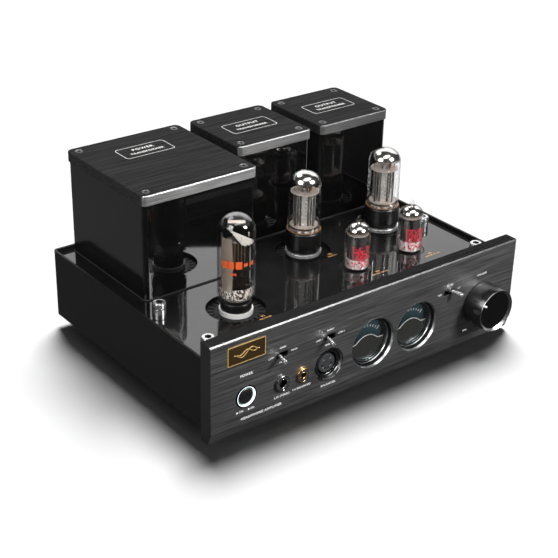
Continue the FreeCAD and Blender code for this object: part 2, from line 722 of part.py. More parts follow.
def valve_pins(kind, centre, low, high, extra=0):
    """The rods of one pin circle, thickened by the extra for the holes that take them."""
    count, first, step = PIN_LAYOUTS[kind]
    return [rod(dim(f"{kind}_pin") + extra, (x, y, low), high - low)
            for x, y in around(count, dim(f"{kind}_pin_circle"), centre, first, step)]


def vent_rings():
    """Slotted plates under the three large deck openings, round the big sockets."""
    rings = []
    for number in (1, 2, 3):
        x, y = valve_place(number)
        body = new_body((x, y, DECK_UNDERSIDE - dim("vent_sheet")))
        sketch = new_sketch(body, "XY_Plane")
        circle(sketch, dim("vent_plate"))
        circle(sketch, dim(f"{VALVE_KINDS[number]}_socket") + dim("fixed_gap") / 2)
        pad(body, sketch, dim("vent_sheet"))
        slot = new_sketch(body, "XY_Plane")
        rectangle(slot, (dim("slot_inner"), dim("slot_outer")), span(0, dim("slot_width")))
        first = pocket(body, slot, dim("vent_sheet"), forward=True)
        pattern = body.newObject("PartDesign::PolarPattern", "Slots")
        pattern.Originals = [first]
        axis = [feature for feature in body.Origin.OriginFeatures if feature.Role == "Z_Axis"][0]
        pattern.Axis = (axis, [""])
        pattern.Angle = 360
        pattern.Occurrences = 24
        body.Tip = pattern
        doc.recompute()
        rings.append(body)
    keep("vent_rings", group(rings))


def valve_sockets():
    """The five ceramic valve sockets, bored for the pins and for the octal keys."""
    gap = dim("moving_gap")
    tops = {"rectifier": DECK + dim("rectifier_seat"), "octal": DECK - dim("octal_seat"), "noval": DECK}
    centres = {"rectifier": dim("socket_centre"), "octal": dim("octal_key") + gap,
               "noval": dim("socket_centre")}
    items = []
    for number, kind in VALVE_KINDS.items():
        x, y = valve_place(number)
        top = tops[kind]
        low = top - dim("pin_length") - gap
        holes = valve_pins(kind, (x, y), low, top + gap, extra=gap)
        holes.append(rod(centres[kind], (x, y, low), top - low + gap))
        depth = dim("socket_depth")
        items.append(cut(rod(dim(f"{kind}_socket"), (x, y, top - depth), depth), holes))
    keep("valve_sockets", group(items))


def socket_trim_rings():
    """Bright rings on the deck line, on which the octal bases stand."""
    rings = []
    seat, radius = dim("octal_seat"), dim("trim_radius")
    for number in (2, 3):
        x, y = valve_place(number)
        ring = rod(radius, (x, y, DECK - seat), seat * 2)
        rings.append(cut(ring, [rod(radius - dim("trim_width"), (x, y, DECK - seat * 2), seat * 4)]))
    keep("socket_trim_rings", group(rings))


def domed_glass(x, y, radius, low, high):
    """Glass envelope with a round top, closed below, hollow inside."""
    wall = dim("glass_wall")
    inner = radius - wall
    spring = high - radius
    return turned([
        (0, low), (radius - wall * 2, low), (radius, low + wall * 2, wall * 2, "anticlockwise"),
        (radius, spring), (0, high, radius, "anticlockwise"), (0, high - wall),
        (inner, spring, inner, "clockwise"), (inner, low + wall * 2), (0, low + wall * 2),
    ], (x, y, 0))


def tipped_glass(x, y, low, high):
    """Small glass envelope with a shoulder and a sealed tip."""
    wall = dim("glass_wall")
    radius, shoulder, tip = dim("noval_glass"), dim("noval_shoulder"), dim("noval_tip")
    top = high - dim("tip_rise")
    inner = radius - wall
    return turned([
        (0, low), (radius, low), (radius, top - shoulder),
        (radius - shoulder, top, shoulder, "anticlockwise"), (tip, top + wall), (tip, high - tip),
        (0, high, tip, "anticlockwise"), (0, top - wall), (inner - shoulder, top - wall),
        (inner, top - shoulder - wall, shoulder, "clockwise"), (inner, low + wall * 2), (0, low + wall * 2),
    ], (x, y, 0))


def electrodes(number, seat, glass_low, high):
    """Anode box between two mica discs, on the stem of the glass, and the valve's pins."""
    kind = VALVE_KINDS[number]
    x, y = valve_place(number)
    low, top = glass_low + dim(f"{kind}_cage_low"), high - dim(f"{kind}_cage_top")
    disc = dim("glass_wall")
    stem_low = glass_low + dim("glass_wall") * 2
    parts = [
        box(span(x, dim(f"{kind}_anode_width")), span(y, dim(f"{kind}_anode_depth")),
            (low + disc, top - disc)),
        rod(dim(f"{kind}_mica"), (x, y, low), disc),
        rod(dim(f"{kind}_mica"), (x, y, top - disc), disc),
        rod(dim(f"{kind}_stem"), (x, y, stem_low), low - stem_low),
    ]
    parts += valve_pins(kind, (x, y), seat - dim("pin_length"), seat)
    keep(f"valve_{number}_electrodes", group(parts))


def rectifier_valve():
    """Large rectifier: glass on a black wafer, with its pins."""
    x, y = valve_place(1)
    seat = DECK + dim("rectifier_seat")
    glass_low, high = DECK + dim("wafer_top"), DECK + dim("rectifier_height")
    keep("valve_1_glass", domed_glass(x, y, dim("rectifier_glass"), glass_low, high))
    keep("valve_1_base", rod(dim("rectifier_wafer"), (x, y, seat), glass_low - seat))
    electrodes(1, seat, glass_low, high)


def octal_valve(number):
    """Output valve: glass in a skirted base with a centre key and eight pins."""
    x, y = valve_place(number)
    seat, base_top = DECK + dim("octal_seat"), DECK + dim("base_top")
    glass_low, high = base_top - dim("base_cup"), DECK + dim("octal_height")
    keep(f"valve_{number}_glass", domed_glass(x, y, dim("octal_glass"), glass_low, high))
    skirt = fuse([rod(dim("octal_base"), (x, y, seat), base_top - seat),
                  rod(dim("octal_key"), (x, y, seat - dim("pin_length")), base_top - seat)])
    cup = rod(dim("octal_glass") + dim("running_gap"), (x, y, glass_low), dim("base_cup") * 2)
    keep(f"valve_{number}_base", cut(skirt, [cup]))
    electrodes(number, seat, glass_low, high)


def noval_valve(number):
    """Driver valve: all-glass envelope whose wires are its nine pins."""
    x, y = valve_place(number)
    seat, high = DECK + dim("noval_seat"), DECK + dim("noval_height")
    keep(f"valve_{number}_glass", tipped_glass(x, y, seat, high))
    electrodes(number, seat, seat, high)


def cage_posts():
    """Four grooved nickel posts that carry a valve cage, with hexagon sockets on top."""
    radius, height, edge = dim("post_radius"), dim("post_height"), dim("post_edge")
    groove_low = dim("post_groove_z")
    groove_high = groove_low + dim("post_groove")
    items = []
    for side in (-1, 1):
        for row in ("post_front", "post_rear"):
            x, y = dim("post_x") * side, FRONT + dim(row)
            profile = [
                (0, 0), (radius, 0), (radius, groove_low), (radius - edge, groove_low),
                (radius - edge, groove_high), (radius, groove_high), (radius, height - edge),
                (radius - edge, height), (0, height),
            ]
            post = turned(profile, (x, y, DECK))
            key_z = DECK + height - dim("post_key_depth")
            items.append(cut(post, [hexagon(dim("post_key"), (x, y, key_z), dim("post_key_depth") * 2)]))
    keep("cage_posts", group(items))


# controls

def power_button():
    """Latching push button in a light ring, with its switch behind the wall."""
    x, z = dim("power_x"), dim("socket_row")
    front = FRONT - dim("power_proud")
    gap = dim("moving_gap")
    ring_length = BEHIND_WALL - front
    ring = cut(rod(dim("power_hole") - dim("fixed_gap") / 2, (x, front, z), ring_length, "+Y"),
               [rod(dim("power_cap") + gap, (x, front - gap, z), ring_length + gap * 2, "+Y")])
    keep("power_button_ring", ring)
    keep("power_button", fuse([rod(dim("power_cap"), (x, front, z), dim("power_cap_length"), "+Y"),
                               rod(dim("power_stem"), (x, front, z), dim("power_stem_length"), "+Y")]))
    shell = box(span(x, dim("power_switch_width")), (BEHIND_WALL, BEHIND_WALL + dim("power_switch_length")),
                span(z, dim("power_switch_width")))
    well = rod(dim("power_stem") + gap, (x, BEHIND_WALL - gap, z), dim("power_well"), "+Y")
    keep("power_switch", cut(shell, [well]))


def selector_switches():
    """Toggle switch bodies behind the slots, and their levers tilted to one end."""
    gap = dim("moving_gap")
    z = dim("selector_z")
    pivot_y = FRONT + dim("selector_pivot")
    nose, throat = FRONT + dim("bushing_front") + dim("fixed_gap"), FRONT + dim("bushing_throat")
    reach = dim("selector_pivot") + dim("lever_reach")
    bodies = []
    for number in SELECTORS:
        x = dim(f"selector_{number}_x")
        bushing = rod(dim("bushing_radius"), (x, nose, z), BEHIND_WALL - nose, "+Y")
        block = box(span(x, dim("selector_width")), (BEHIND_WALL, BEHIND_WALL + dim("selector_length")),
                    span(z, dim("selector_height")))
        mouth = rod(dim("bushing_bore"), (x, nose - gap, z), throat - nose + gap, "+Y")
        seat = rod(dim("lever_ball") + gap, (x, nose, z), pivot_y + dim("lever_ball") + gap - nose, "+Y")
        bodies.append(cut(fuse([bushing, block]), [mouth, seat]))
        lever = fuse([ball(dim("lever_ball"), (0, 0, 0)),
                      cone(dim("lever_root"), dim("lever_tip"), (0, 0, 0), reach, "-Y"),
                      ball(dim("lever_tip"), (0, -reach, 0))])
        side = 1 if number == 3 else -1
        tilt = FreeCAD.Rotation(FreeCAD.Vector(0, 0, 1), side * SIZES["selector_tilt"])
        keep(f"selector_lever_{number}", place(lever, (x, pivot_y, z), tilt))
    keep("selector_switches", group(bodies))


def headphone_jack(node, prefix):
    """Headphone jack: a threaded sleeve with its nut, and the block behind."""
    x, z = dim(f"{prefix}_x"), dim("socket_row")
    front = FRONT - dim(f"{prefix}_proud")
    length, block = dim(f"{prefix}_length"), dim(f"{prefix}_body")
    solid = fuse([
        rod(dim(f"{prefix}_nut"), (x, front, z), dim(f"{prefix}_proud"), "+Y"),
        rod(dim(f"{prefix}_sleeve"), (x, front, z), BEHIND_WALL - front, "+Y"),
        box(span(x, block), (BEHIND_WALL, front + length + dim("jack_end")), span(z, block)),
    ])
    mouth = dim("fixed_gap")
    keep(node, cut(solid, [rod(dim(f"{prefix}_bore"), (x, front - mouth, z), length + mouth, "+Y")]))


def balanced_socket():
    """Four-contact balanced socket: a metal shell round a moulded insert."""
    x, z = dim("xlr_x"), dim("socket_row")
    front = FRONT + dim("xlr_recess")
    length, floor = dim("xlr_length"), dim("xlr_floor")
    over = dim("fixed_gap")
    keep("phones_xlr_shell", cut(rod(dim("xlr_hole") - over / 2, (x, front, z), length, "+Y"),
                                 [rod(dim("xlr_bore"), (x, front - over, z), length + over * 2, "+Y")]))
    insert = fuse([rod(dim("xlr_insert"), (x, front, z), length, "+Y"),
                   rod(dim("xlr_bore"), (x, front + length - floor, z), floor, "+Y")])
    contacts = [rod(dim("xlr_contact"), (hole_x, front - over, hole_z), length - floor, "+Y")
                for hole_x, hole_z in around(4, dim("xlr_contact_circle"), (x, z), 199.5, 47.0)]
    keep("phones_xlr_insert", cut(insert, contacts))


def dome_radius(rim, rise):
    """Radius of the sphere whose cap has this rim and this rise."""
    return (rim * rim + rise * rise) / (rise * 2)


def meter_lens(x, z):
    """Domed window that stands in the flared hole of the panel."""
    rim, wall = dim("meter_radius"), dim("meter_wall")
    rise = dim("lens_rim") - dim("lens_front")
    inner_rim, inner_rise = rim - wall, rise - dim("lens_thickness")
    return turned([
        (rim, 0), (0, rise, dome_radius(rim, rise), "anticlockwise"), (0, inner_rise),
        (inner_rim, 0, dome_radius(inner_rim, inner_rise), "clockwise"),
    ], (x, FRONT + dim("lens_rim"), z), "-Y")


def meter_needle(x, y, z):
    """Needle with its hub and axle, at the low end of its swing."""
    thickness = dim("needle_thickness")
    needle = fuse([
        box(span(0, dim("needle_width")), (0, thickness), (-dim("needle_tail"), dim("needle_length"))),
        rod(dim("needle_hub"), (0, 0, 0), thickness, "+Y"),
        rod(dim("needle_axle"), (0, 0, 0), dim("needle_axle_length"), "+Y"),
    ])
    swing = FreeCAD.Rotation(FreeCAD.Vector(0, 1, 0), -SIZES["needle_rest"])
    return place(needle, (x, y, z), swing)


def meters():
    """The pair of level meters behind the flared holes."""
    radius, wall, length = dim("meter_radius"), dim("meter_wall"), dim("meter_length")
    z, rim, dial_y = dim("meter_z"), FRONT + dim("lens_rim"), FRONT + dim("dial_depth")
    pivot_z = z - dim("needle_drop")
    housings, dials, lenses = [], [], []
    for number in METERS:
        x = dim(f"meter_{number}_x")
        hollow = rod(radius - wall, (x, rim - wall, z), length, "+Y")
        housings.append(cut(rod(radius, (x, rim, z), length, "+Y"), [hollow]))
        axle_hole = rod(dim("needle_axle") + dim("running_gap"), (x, dial_y - wall, pivot_z), wall * 3, "+Y")
        dials.append(cut(rod(radius - wall, (x, dial_y, z), dim("dial_thickness"), "+Y"), [axle_hole]))
        lenses.append(meter_lens(x, z))
        keep(f"meter_needle_{number}", meter_needle(x, dial_y - dim("needle_lift"), pivot_z))
    keep("meter_housings", group(housings))
    keep("meter_dials", group(dials))
    keep("meter_lenses", group(lenses))


def volume_control():
    """Potentiometer, its shaft and the large knob with its dished face."""
    x, z = dim("knob_x"), dim("knob_z")
    over = dim("moving_gap")
    nose, shaft_front = FRONT, FRONT - dim("knob_reach") + dim("knob_face")
    shaft_rear = BEHIND_WALL + dim("shaft_inside")
    pot = fuse([rod(dim("pot_bushing"), (x, nose, z), BEHIND_WALL - nose, "+Y"),
                rod(dim("pot_radius"), (x, BEHIND_WALL, z), dim("pot_length"), "+Y")])
    bore = rod(dim("shaft_radius") + dim("running_gap"), (x, nose - over, z),
               shaft_rear - nose + over * 2, "+Y")
    keep("volume_potentiometer", cut(pot, [bore]))
    keep("volume_shaft", rod(dim("shaft_radius"), (x, shaft_front, z), shaft_rear - shaft_front, "+Y"))
    radius, edge, grip = dim("knob_radius"), dim("knob_edge"), dim("shaft_radius") + dim("running_gap") / 3
    length = dim("knob_reach") - dim("knob_gap")
    bore_depth, dish_floor = length - dim("knob_face"), length - dim("dish_depth")
    knob = turned([
        (grip, 0), (radius - edge, 0), (radius, edge), (radius, length), (radius - edge, length),
        (dim("dish_radius"), dish_floor), (0, dish_floor), (0, bore_depth), (grip, bore_depth),
    ], (x, FRONT - dim("knob_gap"), z), "-Y")
    keep("volume_knob", knob)


# inside the chassis

def circuit_board():
    """Main board on the studs of the bottom plate."""
    board = box(span(0, dim("board_width")), (FRONT + dim("board_front"), FRONT + dim("board_rear")),
                (dim("board_z"), dim("board_z") + dim("board_thickness")))
    keep("circuit_board", board)


def filter_capacitors():
    """Three smoothing capacitors that stand on the board."""
    base = dim("board_z") + dim("board_thickness")
    items = [rod(dim("capacitor_radius"), (dim("capacitor_pitch") * number, FRONT + dim("capacitor_y"), base),
                 dim("capacitor_height")) for number in (-1, 0, 1)]
    keep("filter_capacitors", group(items))


# rear connectors

def phono_places():
    """Two stereo pairs of line sockets."""
    for column in (0, 1):
        for line in (0, 1):
            yield dim("phono_x") + dim("phono_pitch") * column, dim("phono_z") + dim("phono_pitch") * line


def line_sockets():
    """Four phono sockets through the rear wall."""
    items = []
    inside = dim("phono_inside")
    for x, z in phono_places():
        start = REAR - inside
        solid = fuse([rod(dim("phono_radius"), (x, start, z), inside + dim("phono_reach"), "+Y"),
                      hexagon(dim("phono_nut"), (x, REAR, z), dim("phono_nut_depth"), "+Y")])
        bore = rod(dim("phono_bore"), (x, REAR, z), dim("phono_reach") * 2, "+Y")
        items.append(cut(solid, [bore]))
    keep("line_sockets", group(items))


def mains_inlet():
    """Mains inlet with three blades and a fuse drawer below them."""
    x, z = dim("inlet_x"), dim("inlet_z")
    face = REAR + dim("inlet_flange")
    over, gap = dim("fixed_gap"), dim("moving_gap")
    cavity_z = z + dim("cavity_rise")
    drawer_z = z - dim("fuse_drop")
    body = fuse([
        box(span(x, dim("inlet_width")), (REAR, face), span(z, dim("inlet_height"))),
        box(span(x, dim("inlet_body") - over), (REAR - dim("inlet_depth"), face),
            span(z, dim("inlet_body") - over)),
    ])
    floor = face - dim("cavity_depth")
    cavity = box(span(x, dim("cavity_width")), (floor, face + over), span(cavity_z, dim("cavity_height")))
    drawer_hole = box(span(x, dim("fuse_width") + gap * 2), (face - dim("fuse_depth") - gap, face + over),
                      span(drawer_z, dim("fuse_height") + gap * 2))
    keep("mains_inlet", cut(body, [cavity, drawer_hole]))
    blades = []
    for across, up in ((-0.5, -1), (0.5, -1), (0, 1)):
        blades.append(box(span(x + dim("blade_pitch") * across, dim("blade_width")),
                          (floor, floor + dim("blade_length")),
                          span(cavity_z + dim("blade_offset") * up, dim("blade_height"))))
    keep("inlet_blades", group(blades))
    keep("fuse_drawer", box(span(x, dim("fuse_width")), (face - dim("fuse_depth"), face),
                            span(drawer_z, dim("fuse_height"))))


def build():
    """Makes every sub-part."""
    chassis_shell()
    chassis_frame()
    bottom_plate()
    deck_plate()
    front_panel()
    nameplate()
    feet()
    for name in COVERS:
        cover(name)
        cap(name)
    cap_screws()
    transformers()
    vent_rings()
    valve_sockets()
    socket_trim_rings()
    rectifier_valve()
    octal_valve(2)
    octal_valve(3)
    noval_valve(4)
    noval_valve(5)
    cage_posts()
    power_button()
    selector_switches()
    headphone_jack("phones_jack_large", "jack")
    headphone_jack("phones_jack_small", "small_jack")
    balanced_socket()
    meters()
    volume_control()
    circuit_board()
    filter_capacitors()
    line_sockets()
    mains_inlet()
    doc.recompute()


def check():
    """Stops if any object failed, or a sub-part is empty or invalid."""
    for item in doc.Objects:
        if "Invalid" in item.State or "Error" in item.State:
            raise ValueError(f"{item.Name} failed: {item.State}")
    for node, item in NODES.items():
        if item.Shape.isNull() or not item.Shape.isValid() or not item.Shape.Solids:
            raise ValueError(f"{node} has no valid solid")


def write():
    """Writes one STEP file for each sub-part."""
    os.makedirs("parts", exist_ok=True)
    for node, item in NODES.items():
        item.Shape.exportStep(os.path.join("parts", f"{node}.step"))
    print(len(NODES), "sub-parts written")


build()
check()
write()
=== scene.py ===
"""Looks of the valve headphone amplifier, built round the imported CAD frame. Lengths are in metres."""
import json
import math
import random

import bmesh
import bpy
from mathutils import Matrix, Vector

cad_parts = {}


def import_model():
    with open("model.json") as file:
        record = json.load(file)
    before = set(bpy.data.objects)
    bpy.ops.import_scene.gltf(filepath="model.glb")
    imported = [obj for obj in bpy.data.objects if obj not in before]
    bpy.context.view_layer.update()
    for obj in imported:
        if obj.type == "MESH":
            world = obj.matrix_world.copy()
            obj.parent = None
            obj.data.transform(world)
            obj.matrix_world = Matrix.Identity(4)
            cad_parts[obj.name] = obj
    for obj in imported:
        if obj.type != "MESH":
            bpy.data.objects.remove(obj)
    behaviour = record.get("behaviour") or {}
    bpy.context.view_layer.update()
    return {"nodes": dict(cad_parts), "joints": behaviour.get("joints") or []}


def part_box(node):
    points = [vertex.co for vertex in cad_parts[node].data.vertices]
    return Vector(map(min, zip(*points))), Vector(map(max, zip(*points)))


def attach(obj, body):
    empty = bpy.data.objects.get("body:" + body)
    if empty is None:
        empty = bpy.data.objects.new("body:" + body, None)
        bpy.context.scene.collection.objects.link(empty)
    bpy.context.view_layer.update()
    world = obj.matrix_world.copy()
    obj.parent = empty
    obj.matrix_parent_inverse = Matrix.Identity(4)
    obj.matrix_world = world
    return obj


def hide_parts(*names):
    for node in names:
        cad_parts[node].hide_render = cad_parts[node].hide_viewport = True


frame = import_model()
scene = bpy.context.scene
MM = 0.001
MICRON = 0.000001
SHARP = math.radians(38)
TURN = 2 * math.pi
ORIGIN = Vector((0, 0, 0))
UPRIGHT = (Vector((1, 0, 0)), Vector((0, 1, 0)), Vector((0, 0, 1)))
FACING = (Vector((1, 0, 0)), Vector((0, 0, 1)), Vector((0, -1, 0)))


# places read from the CAD frame

def centre(node):
    """Middle of a node's box."""
    low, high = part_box(node)
    return (low + high) / 2


def radius_of(node):
    """Half the width of a node's box."""
    low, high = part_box(node)
    return (high.x - low.x) / 2


PANEL_LOW, PANEL_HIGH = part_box("front_panel")
FRONT = PANEL_LOW.y
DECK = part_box("deck_plate")[1].z
POWER = centre("power_button_ring")
LARGE_JACK, SMALL_JACK = centre("phones_jack_large"), centre("phones_jack_small")
XLR = centre("phones_xlr_shell")
KNOB = centre("volume_knob")
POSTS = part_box("cage_posts")
METER_Z = centre("meter_dials").z
DIAL_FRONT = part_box("meter_dials")[0].y
LENS_LOW, LENS_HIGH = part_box("meter_lenses")
VALVES = {number: centre(f"valve_{number}_glass") for number in (1, 2, 3, 4, 5)}
PIVOTS = {joint["name"]: Vector(joint["pos_m"]) for joint in frame["joints"] if joint["type"] == "hinge"}


# camera

def make_camera():
    """The photograph's viewing angle."""
    azimuth, elevation, roll = math.radians(-38.2), math.radians(27.26), math.radians(1.4)
    place = Vector((-0.6044, -0.7574, 0.5481))
    back = Vector((math.sin(azimuth) * math.cos(elevation), -math.cos(azimuth) * math.cos(elevation),
                   math.sin(elevation)))
    right = Vector((0, 0, 1)).cross(back).normalized()
    up = back.cross(right)
    rolled_right = right * math.cos(roll) + up * math.sin(roll)
    rolled_up = up * math.cos(roll) - right * math.sin(roll)
    data = bpy.data.cameras.new("camera")
    data.lens = 83.47
    data.clip_start = 0.02
    data.clip_end = 50
    camera = bpy.data.objects.new("camera", data)
    scene.collection.objects.link(camera)
    turned_axes = Matrix((rolled_right, rolled_up, back)).transposed().to_4x4()
    camera.matrix_world = Matrix.Translation(place) @ turned_axes
    scene.camera = camera


make_camera()


# materials

M = {}


class Nodes:
    """A small builder for one material's node tree; the material is kept in M under its name."""

    def __init__(self, name):
        material = bpy.data.materials.new(name)
        material.use_nodes = True
        M[name] = material
        self.tree = material.node_tree
        self.shader = self.tree.nodes["Principled BSDF"]

    def add(self, kind, **settings):
        """A node with its settings; a name that is no property sets the input of that name."""
        node = self.tree.nodes.new(f"ShaderNode{kind}")
        for name, value in settings.items():
            if hasattr(node, name):
                setattr(node, name, value)
            else:
                node.inputs[name.replace("_", " ")].default_value = value
        return node

    def link(self, source, target):
        """Joins two sockets."""
        self.tree.links.new(source, target)

    def feed(self, source, socket):
        """Joins a socket to one of the shader's own."""
        self.link(source, self.shader.inputs[socket])

    def place(self, scale):
        """Object coordinates, scaled: features are 1/scale metres long."""
        mapping = self.add("Mapping", Scale=scale)
        self.link(self.add("TexCoord").outputs["Object"], mapping.inputs["Vector"])
        return mapping.outputs["Vector"]

    def noise(self, scale, detail, density=1.0, roughness=0.6):
        """Noise between 0 and 1 over the object; scale is one number, or one for each axis."""
        node = self.add("TexNoise", Scale=density, Detail=detail, Roughness=roughness)
        self.link(self.place(scale if isinstance(scale, tuple) else (scale,) * 3), node.inputs["Vector"])
        return node.outputs["Fac"]

    def spread(self, value, low, high, start=0.3, end=0.7):
        """A value mapped from one range to another."""
        node = self.add("MapRange", From_Min=start, From_Max=end, To_Min=low, To_Max=high)
        self.link(value, node.inputs["Value"])
        return node.outputs["Result"]

    def colours(self, value, stops):
        """A colour ramp: stops are (position, colour)."""
        node = self.add("ValToRGB")
        ramp = node.color_ramp
        for element, (position, colour) in zip(ramp.elements, stops):
            element.position = position
            element.color = (*colour, 1)
        self.link(value, node.inputs["Fac"])
        return node.outputs["Color"]

    def shade(self, value, colour, contrast, socket="Base Color"):
        """A colour that is darker by the contrast where the value is low."""
        dark = [channel * (1 - contrast) for channel in colour]
        self.feed(self.colours(value, [(0.3, dark), (0.7, colour)]), socket)

    def rough(self, value, roughness, least, most):
        """A roughness that follows the value between two multiples of its mean."""
        self.feed(self.spread(value, roughness * least, min(roughness * most, 1)), "Roughness")

    def bump(self, value, depth):
        """Relief from a value, its depth in microns."""
        node = self.add("Bump", Distance=depth * MICRON)
        self.link(value, node.inputs["Height"])
        self.feed(node.outputs["Normal"], "Normal")

    def set(self, **values):
        """Constants on the shader's own sockets."""
        for name, value in values.items():
            self.shader.inputs[name.replace("_", " ")].default_value = value


def grey(level):
    """A neutral colour."""
    return (level, level, level)


def brushed(name, colour, roughness, metallic=1.0, contrast=0.22, fine=2600, grazing=1.0):
    """Metal or anodising with long fine scratches along the panel; grazing scales its edge reflections."""
    n = Nodes(name)
    mixed = n.add("Math", operation="ADD")
    n.link(n.noise((50, fine, fine), 3), mixed.inputs[0])
    n.link(n.noise((12, fine / 5, fine / 5), 2), mixed.inputs[1])
    value = n.spread(mixed.outputs[0], 0, 1, 0.7, 1.3)
    dark = [channel * (1 - contrast) for channel in colour]
    light = [min(channel * (1 + contrast), 1) for channel in colour]
    n.feed(n.colours(value, [(0, dark), (1, light)]), "Base Color")
    n.feed(n.spread(value, roughness * 0.85, roughness * 1.2, 0, 1), "Roughness")
    n.bump(value, 20)
    n.set(Metallic=metallic, Specular_Tint=(*grey(grazing), 1), Specular_IOR_Level=grazing / 2)


def smooth_metal(name, colour, roughness, metallic=1.0, grain=900, depth=4, contrast=0.06):
    """Plated or polished metal with the faint unevenness of real plating."""
    n = Nodes(name)
    value = n.noise(grain, 3)
    n.shade(value, colour, contrast)
    n.rough(value, roughness, 0.8, 1.25)
    n.bump(value, depth)
    n.set(Metallic=metallic)


def grained(name, colour, roughness, grain, depth, contrast=0.25, specular=0.5):
    """Paint, plastic or rubber with a fine surface grain."""
    n = Nodes(name)
    value = n.noise(grain, 5)
    n.shade(value, colour, contrast)
    n.rough(value, roughness, 0.85, 1.2)
    n.bump(value, depth)
    n.set(Specular_IOR_Level=specular)


def gloss_black(name, level=0.004, ior=1.5, roughness=0.02):
    """Mirror-gloss black lacquer with a trace of haze."""
    n = Nodes(name)
    value = n.noise(60, 3)
    n.shade(value, grey(level), 0.3)
    n.rough(value, roughness, 0.7, 1.4)
    n.set(IOR=ior)


def clear_glass(name, tint, body):
    """Thin blown glass: it mirrors at its edges, lets light through elsewhere, and is slightly wavy."""
    n = Nodes(name)
    value = n.noise((90, 90, 45), 1)
    n.shade(value, tint, 0.03)
    n.bump(value, 30)
    edge = n.add("Math", operation="POWER")
    n.link(n.add("LayerWeight", Blend=0.5).outputs["Facing"], edge.inputs[0])
    edge.inputs[1].default_value = 3.6
    n.feed(n.spread(edge.outputs[0], body, 0.85, 0, 1), "Alpha")
    n.set(Roughness=0.01, Metallic=1.0)


def glowing(name, colour, strength):
    """A lit surface with a soft unevenness."""
    n = Nodes(name)
    n.shade(n.noise(300, 2), colour, 0.08, "Emission Color")
    n.set(Emission_Strength=strength, Roughness=0.3)


def painted_glint_material(name, bright, dull, density):
    """Painted glints standing for light caught on the bent wires and the pressed glass foot: bright flecks
    over a dull colour, with clear gaps.
    """
    n = Nodes(name)
    value = n.noise((1, 1, 0.7), 3, density=640, roughness=0.7)
    n.feed(n.spread(value, 0, 1, density, density + 0.07), "Alpha")
    n.feed(n.colours(value, [(density + 0.02, dull), (density + 0.13, bright)]), "Base Color")
    n.set(Metallic=0.25, Roughness=0.25)


def coat_material(name, colour, roughness, middle, solid, clear, flat=1.0, metallic=1.0):
    """A flashed metal coat inside the glass, fading with distance from its middle; flat shortens heights."""
    ragged = 0.25
    n = Nodes(name)
    apart = n.add("VectorMath", operation="DISTANCE")
    n.link(n.place((1, 1, flat)), apart.inputs[0])
    apart.inputs[1].default_value = (middle[0], middle[1], middle[2] * flat)
    reach = n.spread(apart.outputs["Value"], 1, 0, solid, clear)
    edge = n.add("Math", operation="MULTIPLY_ADD")
    n.link(n.noise(420, 4), edge.inputs[0])
    edge.inputs[1].default_value = ragged
    n.link(reach, edge.inputs[2])
    cover = n.spread(edge.outputs[0], 0, 1, ragged * 0.5 + 0.05, ragged * 0.5 + 0.75)
    n.feed(cover, "Alpha")
    brown = (colour[0] * 0.40, colour[1] * 0.27, colour[2] * 0.16)
    n.feed(n.colours(cover, [(0.15, brown), (0.8, colour)]), "Base Color")
    n.set(Metallic=metallic, Roughness=roughness)


def case_materials():
    """Finishes of the panel, the chassis, the deck and the transformer covers."""
    # The panel's upward faces get a darker copy of its brushed finish: painted shade.
    brushed("panel_top_painted_shade", grey(0.055), 0.46, contrast=0.3, fine=3600, grazing=0.14)
    brushed("panel", grey(0.335), 0.46, contrast=0.42, fine=3600)
    smooth_metal("panel_edge", grey(0.24), 0.3, depth=0)
    # Near-black for the panel's sides: painted shade, the same anodising as the front in the real panel.
    grained("panel_side_painted_shade", grey(0.016), 0.4, 1800, 10, specular=0.3)
    smooth_metal("flare", grey(0.6), 0.3, depth=0)
    brushed("cap", grey(0.025), 0.5, 0, contrast=0.5, grazing=0)
    # The caps' forward faces get lit copies of the brushed finish, lightest on the left cap and darkest on
    # the right: painted light, not a different metal.
    for side, level in (("left", 0.75), ("middle", 0.50), ("right", 0.30)):
        brushed(f"cap_front_{side}", grey(level), 0.46, contrast=0.3)
    gloss_black("cover")
    # The covers' faces that don't look forward get a duller, slightly lighter copy of the same gloss: a
    # painted sheen for their softer reflections.
    gloss_black("cover_side_painted_sheen", 0.010, roughness=0.12)
    gloss_black("deck", level=0.012)
    grained("chassis", grey(0.009), 0.5, 2200, 20, specular=0.2)
    grained("inside", grey(0.02), 0.7, 600, 30)
    grained("vent", grey(0.005), 0.38, 900, 10, specular=0.3)
    smooth_metal("screw", grey(0.03), 0.3)
    smooth_metal("satin_steel", grey(0.62), 0.2, 0.85)
    # Near-black for the insides of the post sockets: painted shade in their recesses.
    grained("dark", grey(0.004), 0.8, 700, 10)
    brushed("plate", (0.045, 0.026, 0.008), 0.35, 0.4, fine=1800)
    smooth_metal("gilt", (0.78, 0.52, 0.20), 0.3, 0.6)
    grained("rubber", grey(0.02), 0.75, 1500, 30)
    grained("core", (0.06, 0.06, 0.065), 0.5, 1500, 20)
    grained("tape", (0.52, 0.38, 0.10), 0.5, 900, 20)
    grained("board", (0.03, 0.16, 0.07), 0.4, 700, 10)
    grained("sleeve", (0.02, 0.025, 0.05), 0.35, 700, 10)


